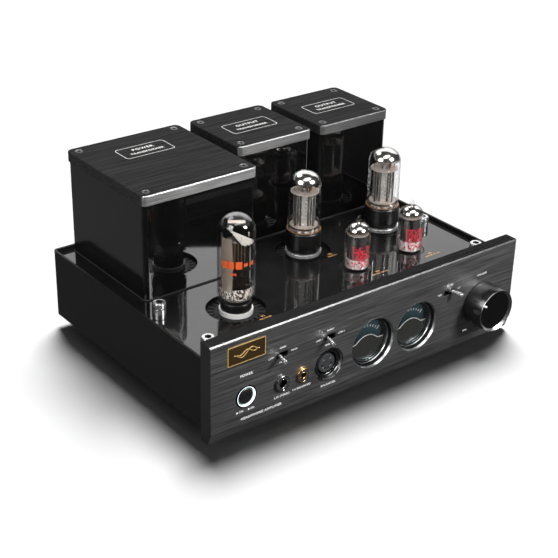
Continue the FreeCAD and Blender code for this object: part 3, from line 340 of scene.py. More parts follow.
def valve_materials():
    """Finishes of the valves and their sockets."""
    clear_glass("glass", (0.98, 0.985, 0.98), 0.04)
    gloss_black("bakelite", 0.006, ior=1.6, roughness=0.33)
    smooth_metal("nickel", (0.78, 0.77, 0.75), 0.14)
    smooth_metal("copper", (0.72, 0.32, 0.16), 0.3)
    smooth_metal("anode", (0.88, 0.83, 0.77), 0.24, 0.55, grain=300, contrast=0.1)
    grained("carbon", (0.05, 0.048, 0.045), 0.5, 900, 20)
    grained("brown_plate", (0.013, 0.009, 0.007), 0.35, 600, 20, 0.4)
    smooth_metal("brown_wire", (0.30, 0.20, 0.12), 0.35, 0.5, grain=600)
    grained("mica", (0.66, 0.56, 0.49), 0.35, 500, 20, 0.3)
    grained("bright_mica", (0.50, 0.46, 0.41), 0.3, 500, 20, 0.3)
    # Bright flecks at the valve feet are painted glints of light, over the wires' dull colour.
    painted_glint_material("stem", (0.95, 0.90, 0.84), (0.34, 0.24, 0.18), 0.45)
    painted_glint_material("red_stem", (1.0, 0.92, 0.90), (0.60, 0.10, 0.11), 0.36)
    grained("amber", (0.22, 0.12, 0.05), 0.25, 900, 10)
    grained("ceramic", (0.90, 0.89, 0.86), 0.28, 700, 8, 0.06)
    grained("socket_black", grey(0.008), 0.3, 900, 10)
    smooth_metal("satin_ring", grey(0.7), 0.25, 0.7)


def control_materials():
    """Finishes of the controls, the sockets and the meters."""
    smooth_metal("chrome", grey(0.82), 0.06)
    smooth_metal("brass", (0.80, 0.50, 0.20), 0.24)
    smooth_metal("black_nickel", grey(0.22), 0.24)
    grained("moulded", (0.035, 0.037, 0.04), 0.45, 1500, 10)
    glowing("ring_light", (0.72, 0.93, 1.0), 1.3)
    gloss_black("button", 0.01, ior=1.8, roughness=0.3)
    grained("knob", grey(0.006), 0.22, 300, 0, 0.05, specular=0.9)
    grained("knob_face", grey(0.004), 0.4, 1400, 6, specular=0.1)
    grained("meter_body", grey(0.010), 0.35, 900, 10)
    grained("dial", (0.026, 0.058, 0.070), 0.35, 700, 4)
    grained("dial_mask", (0.030, 0.026, 0.022), 0.5, 900, 10)
    grained("needle", (0.55, 0.05, 0.02), 0.5, 900, 10)
    clear_glass("lens", (0.80, 0.95, 1.0), 0.16)


def print_materials():
    """Inks."""
    grained("orange", (0.62, 0.085, 0.008), 0.5, 900, 4, 0.2)
    grained("red", (0.72, 0.035, 0.06), 0.5, 900, 4, 0.2)
    grained("print", (0.80, 0.80, 0.79), 0.6, 900, 3, 0.1)
    grained("gold_print", (0.70, 0.36, 0.14), 0.5, 900, 3, 0.2)
    grained("grey_print", grey(0.16), 0.6, 900, 3, 0.15)


case_materials()
valve_materials()
control_materials()
print_materials()


# mesh building

def mm(points, x=0.0, z=0.0):
    """Profile points given in millimetres from (x, z); a third number is a corner's radius."""
    return [(x + right * MM, z + up * MM, *(radius * MM for radius in rest)) for right, up, *rest in points]


def turned(points, angle):
    """Flat points in millimetres, turned by an angle in degrees about the origin."""
    return [Matrix.Rotation(math.radians(angle), 2) @ Vector(point) * MM for point in points]


def arc(x, y, radius, start, end, steps):
    """Points of an arc, angles in degrees."""
    for step in range(steps + 1):
        angle = math.radians(start + (end - start) * step / steps)
        yield x + radius * math.cos(angle), y + radius * math.sin(angle)


def filleted(corners, closed=False, steps=4):
    """A profile whose corners (x, y, radius) are rounded."""
    points = []
    count = len(corners)
    for index, corner in enumerate(corners):
        x, y = corner[:2]
        radius = corner[2] if len(corner) > 2 else 0
        if radius == 0 or (not closed and index in (0, count - 1)):
            points.append((x, y))
            continue
        here = Vector((x, y))
        before = Vector(corners[index - 1][:2]) - here
        after = Vector(corners[(index + 1) % count][:2]) - here
        half = before.angle(after) / 2
        reach = min(radius / math.tan(half), before.length * 0.49, after.length * 0.49)
        start, end = here + before.normalized() * reach, here + after.normalized() * reach
        for step in range(steps + 1):
            t = step / steps
            curve = start * (1 - t) ** 2 + here * (2 * t * (1 - t)) + end * t ** 2
            points.append((curve.x, curve.y))
    return points


def finished(name, bm, materials):
    """An object with a smooth-shaded mesh, and sharp edges where its faces turn by more than the limit."""
    bmesh.ops.recalc_face_normals(bm, faces=bm.faces)
    mesh = bpy.data.meshes.new(name)
    bm.to_mesh(mesh)
    bm.free()
    for material in materials:
        mesh.materials.append(M[material])
    mesh.shade_smooth()
    mesh.set_sharp_from_angle(angle=SHARP)
    thing = bpy.data.objects.new(name, mesh)
    scene.collection.objects.link(thing)
    return thing


def piece(name, bm, materials, body, replaces=()):
    """A shown object that rides on a body."""
    thing = finished(name, bm, materials)
    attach(thing, body)
    if replaces:
        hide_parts(*replaces)
    return thing


def bridge(bm, first, second, material=0):
    """Faces between two rings of corners; a ring of one corner is a pole."""
    count = max(len(first), len(second))
    if count == 1:
        return
    for index in range(count):
        following = (index + 1) % count
        corners = [first[index % len(first)], first[following % len(first)],
                   second[following % len(second)], second[index % len(second)]]
        bm.faces.new(list(dict.fromkeys(corners))).material_index = material


def add_lathe(bm, profile, at, axes=UPRIGHT, segments=96, closed=False, material=0, bands=None):
    """A profile of (radius, height) turned round an axis. bands gives some profile steps another material."""
    side, other, forward = axes
    rings = []
    for radius, height in profile:
        middle = at + forward * height
        if radius < 1e-7:
            rings.append([bm.verts.new(middle)])
            continue
        turns = [TURN * index / segments for index in range(segments)]
        rings.append([bm.verts.new(middle + (side * math.cos(turn) + other * math.sin(turn)) * radius)
                      for turn in turns])
    following_rings = rings[1:] + rings[:1] if closed else rings[1:]
    for step, (first, second) in enumerate(zip(rings, following_rings)):
        bridge(bm, first, second, (bands or {}).get(step, material))


def lathe(name, profile, at, body, materials, axes=UPRIGHT, segments=96, closed=False, bands=None,
          replaces=()):
    """One turned piece."""
    bm = bmesh.new()
    add_lathe(bm, profile, at, axes, segments, closed, bands=bands)
    return piece(name, bm, materials, body, replaces)


def add_tube(bm, points, radius, segments=8, material=0):
    """A round wire along points."""
    rings = []
    last_side = None
    for index, point in enumerate(points):
        before, after = points[max(index - 1, 0)], points[min(index + 1, len(points) - 1)]
        along = (after - before).normalized()
        side = along.orthogonal().normalized()
        if last_side:
            side = (last_side - along * last_side.dot(along)).normalized()
        last_side = side
        other = along.cross(side)
        turns = [TURN * k / segments for k in range(segments)]
        rings.append([bm.verts.new(point + (side * math.cos(turn) + other * math.sin(turn)) * radius)
                      for turn in turns])
    for first, second in zip(rings, rings[1:]):
        bridge(bm, first, second, material)
    for ring in (rings[0], rings[-1]):
        bm.faces.new(ring).material_index = material


def add_prism(bm, outline, low, high, at=ORIGIN, axes=UPRIGHT, bevel=0.0, material=0):
    """An outline in the first two axes, raised along the third, with bevelled end edges."""
    side, other, forward = axes
    rings = [[bm.verts.new(at + side * x + other * y + forward * height) for x, y in outline]
             for height in (low, high)]
    ends = [bm.faces.new(ring) for ring in rings]
    for face in ends:
        face.material_index = material
    bridge(bm, *rings, material)
    if bevel:
        edges = [edge for face in ends for edge in face.edges]
        bmesh.ops.bevel(bm, geom=edges, offset=bevel, segments=3, profile=0.5, affect="EDGES",
                        clamp_overlap=True)


def add_frame(bm, outer, inner, rise, at, axes, material=0):
    """A flat frame between two outlines, raised from a surface."""
    side, other, forward = axes
    low_outer, high_outer, low_inner, high_inner = [
        [bm.verts.new(at + side * x + other * y + forward * height) for x, y in outline]
        for outline in (outer, inner) for height in (0, rise)]
    order = (low_outer, high_outer, high_inner, low_inner)
    for first, second in zip(order, order[1:] + order[:1]):
        bridge(bm, first, second, material)


def rectangle(width, height, radius=0.0, steps=6):
    """Outline of a rectangle about the origin with round corners."""
    x, y = width / 2, height / 2
    corners = [(-x, -y, radius), (x, -y, radius), (x, y, radius), (-x, y, radius)]
    return filleted(corners, closed=True, steps=steps) if radius else [corner[:2] for corner in corners]


def softened(node, materials, width, paint=None, body="chassis"):
    """The CAD node's own shape, its edges eased by a width in millimetres. paint picks a face's material."""
    bm = bmesh.new()
    bm.from_mesh(frame["nodes"][node].data)
    bmesh.ops.remove_doubles(bm, verts=bm.verts, dist=MICRON)
    bmesh.ops.dissolve_limit(bm, angle_limit=math.radians(0.5), verts=bm.verts, edges=bm.edges)
    bmesh.ops.recalc_face_normals(bm, faces=bm.faces)
    for face in bm.faces:
        face.material_index = paint(face) if paint else 0
    thing = piece(f"{node}_shape", bm, materials, body, [node])
    bevel = thing.modifiers.new("eased", "BEVEL")
    bevel.width = width * MM
    bevel.segments = 2
    bevel.limit_method = "ANGLE"
    bevel.angle_limit = SHARP
    bevel.use_clamp_overlap = True
    thing.modifiers.new("even", "WEIGHTED_NORMAL").keep_sharp = True


def dressed(material, *nodes):
    """CAD nodes that keep their own shape and get a finish."""
    for node in nodes:
        slots = frame["nodes"][node].data.materials
        slots.clear()
        slots.append(M[material])


# lettering and printed marks, all generic words

PROUD = 0.02 * MM


def text_mesh(words, size, spacing):
    """Flat letters in the XY plane, centred on the origin."""
    curve = bpy.data.curves.new("letters", "FONT")
    curve.body = words
    curve.size = size
    curve.space_character = spacing
    curve.align_x = "CENTER"
    curve.align_y = "CENTER"
    curve.extrude = 0.015 * MM
    curve.offset = size * 0.014
    curve.resolution_u = 3
    holder = bpy.data.objects.new("letters", curve)
    scene.collection.objects.link(holder)
    bpy.context.view_layer.update()
    mesh = bpy.data.meshes.new_from_object(holder.evaluated_get(bpy.context.evaluated_depsgraph_get()))
    bpy.data.objects.remove(holder)
    return mesh


def add_text(bm, words, size, at, axes, spacing):
    """Letters at a place, their size in millimetres; axes are reading direction, up, and out."""
    mesh = text_mesh(words, size * MM, spacing)
    mesh.transform(Matrix.Translation(at) @ Matrix(axes).transposed().to_4x4())
    bm.from_mesh(mesh)


def panel_prints():
    """White words on the front panel."""
    bottom = PANEL_LOW.z
    entries = [
        ("POWER", 3.0, 1.15, POWER.x, POWER.z, 0, 18.6),
        ("OFF", 2.3, 1.1, POWER.x, POWER.z, -4.6, -11.8),
        ("ON", 2.3, 1.1, POWER.x, POWER.z, 5.6, -11.8),
        ("HEADPHONE AMPLIFIER", 3.2, 1.12, POWER.x, bottom, 14.2, 13.5),
        ("6.35 STEREO", 2.5, 1.1, LARGE_JACK.x, LARGE_JACK.z, 0.4, -11.5),
        ("4.4 BALANCED", 2.5, 1.1, SMALL_JACK.x, SMALL_JACK.z, -0.5, -10.7),
        ("BALANCED", 2.6, 1.15, XLR.x, XLR.z, 0, -17.5),
        ("VOLUME", 2.6, 1.15, KNOB.x, KNOB.z, 0, 26),
        ("MIN", 2.3, 1.15, KNOB.x, KNOB.z, -14.5, -22.5),
    ]
    selectors = [("GAIN", "LOW", "HIGH", "MID"), ("INPUT", "LINE 1", "LINE 2", "DIRECT"),
                 ("METER", "DIM", "LIT", "")]
    for number, (top, left, right, below) in enumerate(selectors, 1):
        pivot = PIVOTS[f"selector_throw_{number}"]
        for words, size, x, z in ((top, 2.3, 0.4, 6.0), (left, 2.1, -10.4, 0), (right, 2.1, 11.2, 0.6),
                                  (below, 2.1, -0.6, -6.4)):
            entries.append((words, size, 1.1, pivot.x, pivot.z, x, z))
    bm = bmesh.new()
    for words, size, spacing, from_x, from_z, x, z in entries:
        if words:
            at = Vector((from_x + x * MM, FRONT - PROUD, from_z + z * MM))
            add_text(bm, words, size, at, FACING, spacing)
    for x in (-8.2, 2.4):
        square = rectangle(1.5 * MM, 1.5 * MM, 0.3 * MM, 2)
        add_prism(bm, square, 0, PROUD, Vector((POWER.x + x * MM, FRONT, POWER.z - 11.8 * MM)), FACING)
    piece("panel_print", bm, ["print"], "chassis")


def cap_prints():
    """A white rounded frame and two lines of words on each transformer cap."""
    width, height, line, radius = 46 * MM, 21.5 * MM, 0.45 * MM, 3.2 * MM
    outer = rectangle(width, height, radius)
    inner = rectangle(width - 2 * line, height - 2 * line, radius - line)
    bm = bmesh.new()
    titles = (("left", "POWER", 23.5), ("middle", "OUTPUT", 0.5), ("right", "OUTPUT", 0.5))
    for side, title, rearward in titles:
        low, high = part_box(f"cap_{side}")
        at = Vector(((low.x + high.x) / 2, (low.y + high.y) / 2 + rearward * MM, high.z))
        add_frame(bm, outer, inner, PROUD, at, UPRIGHT)
        add_text(bm, title, 5.2, at + Vector((0, 3.6 * MM, PROUD)), UPRIGHT, 1.2)
        add_text(bm, "TRANSFORMER", 4.2, at + Vector((0, -3.8 * MM, PROUD)), UPRIGHT, 1.12)
    piece("cap_print", bm, ["print"], "chassis")


def deck_prints():
    """Small gilt position marks and generic words by the valves."""
    bm = bmesh.new()
    marks = [("RECTIFIER", 9, -23), ("OUTPUT", 13, -20), ("OUTPUT", 12, -19), ("DRIVER STAGE", 9, -16.5),
             ("DRIVER STAGE", 9, -16.5)]
    for number, (duty, x, y) in enumerate(marks, 1):
        at = Vector((VALVES[number].x + x * MM, VALVES[number].y + y * MM, DECK + PROUD))
        add_text(bm, f"V{number}", 3.4, at, UPRIGHT, 1.1)
        add_text(bm, duty, 2.3, at - Vector((0, 3.4 * MM, 0)), UPRIGHT, 1.1)
    piece("deck_print", bm, ["gold_print"], "chassis")


def add_patch(bm, at, radius, angle, width, low, high):
    """A thin curved patch on an upright tube; angle in degrees from +X, width in metres along the surface."""
    thickness, column_angle = 0.03 * MM, 7
    columns = max(1, math.ceil(math.degrees(width / radius) / column_angle))
    start = math.radians(angle) - width / radius / 2
    grid = []
    for column in range(columns + 1):
        turn = start + width / radius * column / columns
        direction = Vector((math.cos(turn), math.sin(turn), 0))
        grid.append([bm.verts.new(Vector((at.x, at.y, z)) + direction * r)
                     for r, z in ((radius, low), (radius + thickness, low),
                                  (radius + thickness, high), (radius, high))])
    for end in (grid[0], grid[-1]):
        bm.faces.new(end)
    for first, second in zip(grid, grid[1:]):
        bridge(bm, first, second)


# valves

def dome(radius, low, high, power, steps):
    """A blown top from the tube's side up to its axis."""
    points = []
    for step in range(steps + 1):
        angle = math.pi / 2 * step / steps
        points.append((radius * max(math.cos(angle), 0) ** (2 / power),
                       low + (high - low) * math.sin(angle) ** (2 / power)))
    points[-1] = (0.0, high)
    return points


def tipped(radius, low, shoulder, tip_radius, high):
    """A blown top with a sealed-off tip."""
    points = [point for point in dome(radius, low, shoulder, 2.2, 14) if point[0] > tip_radius * 1.9]
    x, z = points[-1]
    neck = tip_radius * 1.45
    points += [(neck, z + (x - neck) * 0.3), (tip_radius * 1.05, shoulder + 0.7 * MM)]
    rise = high - shoulder
    points += [(tip_radius * 0.9, shoulder + rise * 0.45), (tip_radius * 0.72, shoulder + rise * 0.75),
               (tip_radius * 0.4, high - rise * 0.06), (0.0, high)]
    return points


def inset(top, depth):
    """A blown top's profile moved inwards; less so in height where it is steep."""
    side = top[0][0]
    return [(max(x - depth, 0), z - depth * (0.3 + 0.7 * (1 - x / side))) for x, z in top]


def tube_wall(top, foot, wall):
    """A profile of a glass tube: down its outside, and up its inside."""
    inner_foot = [(max(x - wall, 0.2 * MM), z) for x, z in foot]
    inner_foot[-1] = (inner_foot[-1][0], inner_foot[-1][1] + wall)
    return top[::-1] + foot + inner_foot[::-1] + inset(top, wall)


FILM = 0.05 * MM


def sleeve(side):
    """A closed profile of a thin sleeve inside points of (radius, height)."""
    return side + [(x - FILM, z) for x, z in reversed(side)]


def stem_glints(number, at, side, material):
    """A thin sleeve of painted glints round the foot of a valve."""
    lathe(f"valve_{number}_stem_painted_glints", sleeve(side), at, f"valve_{number}", [material],
          segments=64, closed=True)


def add_rods(bm, at, places, low, high, radius, material):
    """Upright wires at places round an axis."""
    for x, y in places:
        start = Vector((at.x + x, at.y + y, low))
        add_tube(bm, [start, Vector((start.x, start.y, high))], radius, material=material)


def add_pins(bm, at, circle, radius, count, first, step, low, high, material):
    """Contact pins round a base, angles in degrees."""
    for number in range(count):
        angle = math.radians(first + step * number)
        place = (circle * math.cos(angle), circle * math.sin(angle))
        add_rods(bm, at, [place], low, high, radius, material)


def mica_outline(radius, teeth=28, depth=0.9 * MM):
    """A disc with small notches round its edge."""
    points = []
    for tooth in range(teeth):
        for share, reach in ((0.0, radius), (0.55, radius), (0.62, radius - depth), (0.93, radius - depth)):
            angle = TURN * (tooth + share) / teeth
            points.append((reach * math.cos(angle), reach * math.sin(angle)))
    return points


def add_mica(bm, at, radius, height, material, thickness=0.5 * MM):
    """One spacer disc."""
    add_prism(bm, mica_outline(radius), height, height + thickness, at, material=material)


def add_anode(bm, at, width, depth, low, high, angle, ribs):
    """A folded plate: a flattened tube with side wings and pressed ribs, sizes in millimetres."""
    turn = Matrix.Rotation(math.radians(angle), 3, "Z")
    axes = (turn @ Vector((1, 0, 0)), turn @ Vector((0, 1, 0)), Vector((0, 0, 1)))
    width, depth, fold, raised = width * MM, depth * MM, depth * MM * 0.42, 0.7 * MM
    add_prism(bm, rectangle(width * 0.7, depth, fold, 8), low, high, at, axes, 0.15 * MM)
    for sign in (-1, 1):
        wing = [(x + sign * width * 0.42, y) for x, y in rectangle(width * 0.18, 0.7 * MM)]
        add_prism(bm, wing, low + 0.8 * MM, high - 0.8 * MM, at, axes, 0.1 * MM)
    for rib in range(ribs):
        z = low + (high - low) * (rib + 0.5) / ribs
        outline = rectangle(width * 0.7 + raised, depth + raised, fold, 8)
        add_prism(bm, outline, z - 0.7 * MM, z + 0.7 * MM, at, axes, 0.3 * MM)


def add_leads(bm, at, count, ring, low, high, spread, radius, material, seed):
    """Bent lead wires from a ring in the stem up to another ring; rings and wires in millimetres."""
    draw = random.Random(seed)
    for index in range(count):
        angle = TURN * index / count + draw.uniform(-0.12, 0.12)
        start = Vector((at.x + ring * MM * math.cos(angle), at.y + ring * MM * math.sin(angle), low))
        end_ring = spread * MM * draw.uniform(0.75, 1.05)
        end = Vector((at.x + end_ring * math.cos(angle + 0.3), at.y + end_ring * math.sin(angle + 0.3), high))
        middle = start.lerp(end, 0.5) + Vector((draw.uniform(-1, 1), draw.uniform(-1, 1), 0)) * (0.8 * MM)
        add_tube(bm, [start, middle, end], radius * MM, material=material)


def valve_frame(number):
    """Body, axis, radius and levels of a valve's glass."""
    low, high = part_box(f"valve_{number}_glass")
    at = Vector((VALVES[number].x, VALVES[number].y, 0))
    return f"valve_{number}", at, (high.x - low.x) / 2, low.z, high.z


def valve_glass(body, at, top, foot, wall):
    """The glass envelope of a valve."""
    lathe(f"{body}_glass_shape", tube_wall(top, foot, wall), at, body, ["glass"],
          replaces=[f"{body}_glass"])


def silvering(number, at, top, wall, apex, solid, clear, bottom, hole=-1.0):
    """The flashed metal inside a blown top, down to a level; a hole leaves out the tip."""
    coat_material(f"coat_{number}", (0.82, 0.79, 0.75), 0.17, (at.x, at.y, apex), solid * MM, clear * MM)
    inner = inset(top, wall + 0.06 * MM)
    skirt = inner[0][0]
    shell = inner + [(max(x - FILM, 0), z - FILM) for x, z in reversed(inner)]
    shell = [point for point in shell if point[0] > hole]
    lathe(f"valve_{number}_coat", [(skirt, bottom)] + shell + [(skirt - FILM, bottom)], at,
          f"valve_{number}", [f"coat_{number}"], closed=True)


def rectifier_coat(body, at, radius, high, low):
    """A small brown flash on one side of the rectifier's wall."""
    angle = math.radians(-159)
    middle = (at.x + radius * math.cos(angle), at.y + radius * math.sin(angle), high - 38 * MM)
    coat_material("coat_1", (0.34, 0.28, 0.23), 0.38, middle, 4.6 * MM, 6.4 * MM, 0.13, 0.45)
    inner = radius - 1.05 * MM
    side = [(inner, low + 12 * MM), (inner, high - 15.5 * MM)]
    lathe("valve_1_flash", sleeve(side), at, body, ["coat_1"], closed=True)


def rectifier_spacer(body, at, level):
    """The tilted upper mica: the part of it that shows, between two cut edges."""
    outline = [(x, y) for x, y in mica_outline(13.1 * MM, 22, 1.5 * MM)
               if 1.029 * x - 0.27 * y > -1.35 * MM and 1.057 * x + 0.481 * y < 9.1 * MM]
    bm = bmesh.new()
    add_prism(bm, outline, 0, 0.5 * MM)
    tilt = Matrix.Rotation(math.radians(9), 3, Vector((0.62, 0.79, 0)))
    bmesh.ops.rotate(bm, verts=bm.verts, cent=ORIGIN, matrix=tilt)
    bmesh.ops.translate(bm, verts=bm.verts, vec=at + Vector((0, 0, level)))
    piece("valve_1_spacer", bm, ["bright_mica"], body)


def rectifier_inside(body, at, low, high):
    """Anode, grid wires, rods, getter plate, stem, leads and pins of the rectifier."""
    plate, white, nickel, wire, glass, copper = range(6)
    angle = -24
    mica_low, mica_top = low + 10 * MM, high - 21 * MM
    bm = bmesh.new()
    add_anode(bm, at, 20, 12.5, mica_low + 1.2 * MM, mica_top - 0.7 * MM, angle, 2)
    add_pins(bm, at, 8.73 * MM, 0.63 * MM, 9, 108, 36, DECK - 7.5 * MM, DECK + 0.6 * MM, nickel)
    grid = turned([(x, -6.5) for x in (-5, -2.5, 0, 2.5, 5)], angle)
    add_rods(bm, at, grid, mica_top - 22 * MM, mica_top - 1 * MM, 0.25 * MM, wire)
    add_mica(bm, at, 12.9 * MM, mica_low, plate)
    rods = mm([(-10.6, 1.5), (10.6, -1.5), (0, 5), (1.5, -4.5)])
    add_rods(bm, at, rods, mica_low - 4 * MM, mica_top + 3 * MM, 0.5 * MM, nickel)
    getter = [Matrix.Rotation(math.radians(-35), 2) @ Vector(point)
              for point in rectangle(13 * MM, 5 * MM, 0.8 * MM)]
    add_prism(bm, getter, high - 7 * MM, high - 6.6 * MM, at, material=white)
    stem = mm([(0, 6.6), (6.0, 6.0), (9.2, 4.2), (10.2, 2.4)], z=low)
    add_lathe(bm, stem + [(x, z - 0.8 * MM) for x, z in reversed(stem)], at, material=glass, segments=48)
    add_leads(bm, at, 8, 6.2, low + 5.2 * MM, mica_low + 0.2 * MM, 8.5, 0.45, nickel, 11)
    add_leads(bm, at, 6, 4.0, low + 6.0 * MM, mica_low + 0.2 * MM, 5.5, 0.35, copper, 12)
    piece("valve_1_inside", bm, ["brown_plate", "mica", "nickel", "brown_wire", "glass", "copper"], body,
          ["valve_1_electrodes"])
    rectifier_spacer(body, at, mica_top + 0.4 * MM)


def rectifier_print(body, at, radius, level):
    """Orange blocks and strokes that spell nothing, round the front of the rectifier's glass."""
    blocks = ((-162, 5.2, 6.2), (-141, 4.2, 6.2), (-118, 5.0, 6.2), (-97, 3.4, 2.6), (-81, 1.6, 2.6),
              (-72, 2.4, 3.4))
    bm = bmesh.new()
    for angle, width, height in blocks:
        add_patch(bm, at, radius, angle, width * MM, level - height / 2 * MM, level + height / 2 * MM)
    for angle, width in ((-146, 2.0), (-136, 1.2), (-129, 1.6)):
        add_patch(bm, at, radius, angle, width * MM, level - 8.4 * MM, level - 6.6 * MM)
    piece("valve_1_print", bm, ["orange"], body)


def rectifier():
    """Valve 1: a straight-sided rectifier on a thin black wafer base."""
    body, at, radius, low, high = valve_frame(1)
    foot = [(radius, low + 6.5 * MM), *arc(radius - 3.4 * MM, low + 6.2 * MM, 3.4 * MM, 0, -72, 8),
            (radius - 4.2 * MM, low + 1.0 * MM)]
    valve_glass(body, at, dome(radius, high - 13.5 * MM, high, 2.15, 18), foot, 0.9 * MM)
    rectifier_coat(body, at, radius, high, low)
    rectifier_inside(body, at, low, high)
    stem_glints(1, at, mm([(-5, 1.2), (-2.2, 4.2), (-1.1, 7), (-1.1, 14)], radius, low), "stem")
    width = radius_of("valve_1_base")
    bottom, top = (corner.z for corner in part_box("valve_1_base"))
    wafer = filleted([(0, bottom), *mm([(0, 0, 0.6)], width, bottom), *mm([(0, -0.2, 0.8)], width, top),
                      *mm([(0, -0.2)], z=top)])
    lathe("valve_1_wafer", wafer, at, body, ["bakelite"], replaces=["valve_1_base"])
    rectifier_print(body, at, radius, low + 35.5 * MM)


def octal_inside(number, body, at, low, mica_top):
    """Ribbed anode, rods between the micas, getter plate, leads, stem and pins of an octal valve."""
    white, nickel, copper, carbon, brass = range(1, 6)
    angle = -38
    mica_low = low + 5.6 * MM
    bm = bmesh.new()
    add_pins(bm, at, 8.73 * MM, 1.17 * MM, 8, 112.5, 45, DECK - 6.5 * MM, DECK + 2 * MM, brass)
    add_anode(bm, at, 18, 11, mica_low + 0.6 * MM, mica_top - 0.1 * MM, angle, 1)
    for x, material in ((-7.4, carbon), (-5.2, nickel), (-3.2, carbon), (3.2, carbon), (5.2, nickel),
                        (7.4, carbon)):
        add_rods(bm, at, turned([(x, -5.4)], angle), mica_low + 0.7 * MM, mica_top - 0.3 * MM, 0.8 * MM,
                 material)
    for level in (mica_low, mica_top):
        add_mica(bm, at, 12.0 * MM, level, white)
    supports = turned([(-8.6, 0), (8.6, 0), (-3, 1.5), (3, -1.5)], angle)
    add_rods(bm, at, supports, mica_low - 4.5 * MM, mica_top + 4.2 * MM, 0.5 * MM, nickel)
    add_rods(bm, at, mm([(3.2, -3.6), (4.6, -2.6)]), mica_top, mica_top + 5.5 * MM, 0.75 * MM, copper)
    stubs = mm([(-1.0, -4.4), (0.4, -5.6), (-3.2, -1.2)])
    add_rods(bm, at, stubs, mica_top, mica_top + 4.6 * MM, 0.5 * MM, carbon)
    add_prism(bm, rectangle(4 * MM, 1.6 * MM, 0.6 * MM), mica_top + 3.2 * MM, mica_top + 4.4 * MM,
              at - Vector((2 * MM, 2 * MM, 0)), bevel=0.2 * MM, material=nickel)
    add_leads(bm, at, 8, 7.5, low + 0.4 * MM, mica_low + 0.1 * MM, 8.8, 0.42, copper, 20 + number)
    stem = mm([(0, 2.6), (6.5, 2.2), (9.5, 0.8)], z=low)
    add_lathe(bm, stem + [(x, z - 0.6 * MM) for x, z in reversed(stem)], at, material=nickel, segments=48)
    piece(f"{body}_inside", bm, ["anode", "mica", "nickel", "copper", "carbon", "brass"], body,
          [f"{body}_electrodes"])


def octal_base(body, at, radius):
    """The black skirt with its narrower foot and key, and the cement round the glass."""
    bottom, top = (corner.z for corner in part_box(f"{body}_base"))
    wide = radius_of(f"{body}_base")
    key, foot, seat = 3.9 * MM, DECK + 1.6 * MM, radius + 0.15 * MM
    profile = filleted([
        (0, bottom), (key, bottom, 0.8 * MM), (key, foot),
        *mm([(-0.9, 0, 0.5), (-0.5, 3, 0.5), (0, 3.4, 0.4)], wide, foot),
        *mm([(0, -1.5, 0.8), (-0.5, -0.9, 0.2), (-0.5, 0, 0.5)], wide, top),
        (seat, top), (seat, top - 2.2 * MM), (0, top - 2.2 * MM),
    ], steps=5)
    lathe(f"{body}_skirt", profile, at, body, ["bakelite"], segments=128,
          replaces=[f"{body}_base"])
    cement = mm([(-1.8, 0.02), (-0.4, 0.02, 0.1), (-0.4, 0.5, 0.2), (-1.8, 0.5)], wide, top)
    lathe(f"{body}_cement_ring", filleted(cement, closed=True), at, body, ["amber"],
          closed=True)


def octal_print(number, body, at, radius, top):
    """Six short rows of small grey strokes on the side of an octal valve."""
    draw = random.Random(40 + number)
    bm = bmesh.new()
    for row in range(6):
        z = top - (3.2 + row * 3.4) * MM
        angle = -126 + draw.uniform(0, 3)
        while angle < -106:
            width = draw.uniform(0.5, 1.6) * MM
            add_patch(bm, at, radius, angle, width, z, z + draw.uniform(0.9, 1.3) * MM)
            angle += math.degrees(width / radius) + draw.uniform(1.6, 3.0)
    piece(f"{body}_print", bm, ["grey_print"], body)


def octal(number):
    """Valves 2 and 3: octal types with a tall black base and a silvered top."""
    body, at, radius, low, high = valve_frame(number)
    top, wall = dome(radius, high - 12 * MM, high, 2.25, 18), 0.85 * MM
    valve_glass(body, at, top, mm([(0, 3), (-1.0, 0.6), (-3, 0.1)], radius, low), wall)
    silvering(number, at, top, wall, high, 13, 17, high - 22 * MM)
    mica_top = high - 18.2 * MM
    octal_inside(number, body, at, low, mica_top)
    octal_base(body, at, radius)
    stem_glints(number, at, mm([(-1, 0.6), (-1, 4.4)], radius, low), "stem")
    octal_print(number, body, at, radius, mica_top)


def noval_inside(number, body, at, radius, low):
    """Two anodes between micas, rods, glass foot, leads and pins of a miniature valve."""
    white, nickel, copper, glass = range(1, 5)
    angle = -30
    mica_low, mica_top = low + 7 * MM, low + 30 * MM
    bm = bmesh.new()
    add_pins(bm, at, 5.95 * MM, 0.5 * MM, 9, 108, 36, DECK - 7.5 * MM, DECK + 0.8 * MM, nickel)
    for offset in turned([(-3.9, 0), (3.9, 0)], angle):
        add_anode(bm, at + offset.to_3d(), 8.6, 6.2, mica_low + 0.5 * MM, mica_top, angle, 2)
    for level in (mica_low, mica_top):
        add_mica(bm, at, 8.9 * MM, level, white, 0.4 * MM)
    rods = mm([(7.6, 0), (-7.6, 0), (0, 2), (0, -2)])
    add_rods(bm, at, rods, mica_low - 2 * MM, mica_top + 2.2 * MM, 0.35 * MM, nickel)
    inner = radius - 1.1 * MM
    button = filleted([*mm([(0, 0.2)], z=low), *mm([(0, 0.2, 0.3), (0, 1.9, 0.4)], inner, low),
                       *mm([(0, 2.1)], z=low)])
    add_lathe(bm, button, at, material=glass, segments=64)
    add_leads(bm, at, 9, 5.9, low + 1.4 * MM, mica_low, 6.6, 0.5, nickel, 60 + number)
    add_leads(bm, at, 9, 5.9, low + 1.4 * MM, mica_low, 3.6, 0.35, copper, 70 + number)
    piece(f"{body}_inside", bm, ["carbon", "mica", "nickel", "copper", "glass"], body,
          [f"{body}_electrodes"])


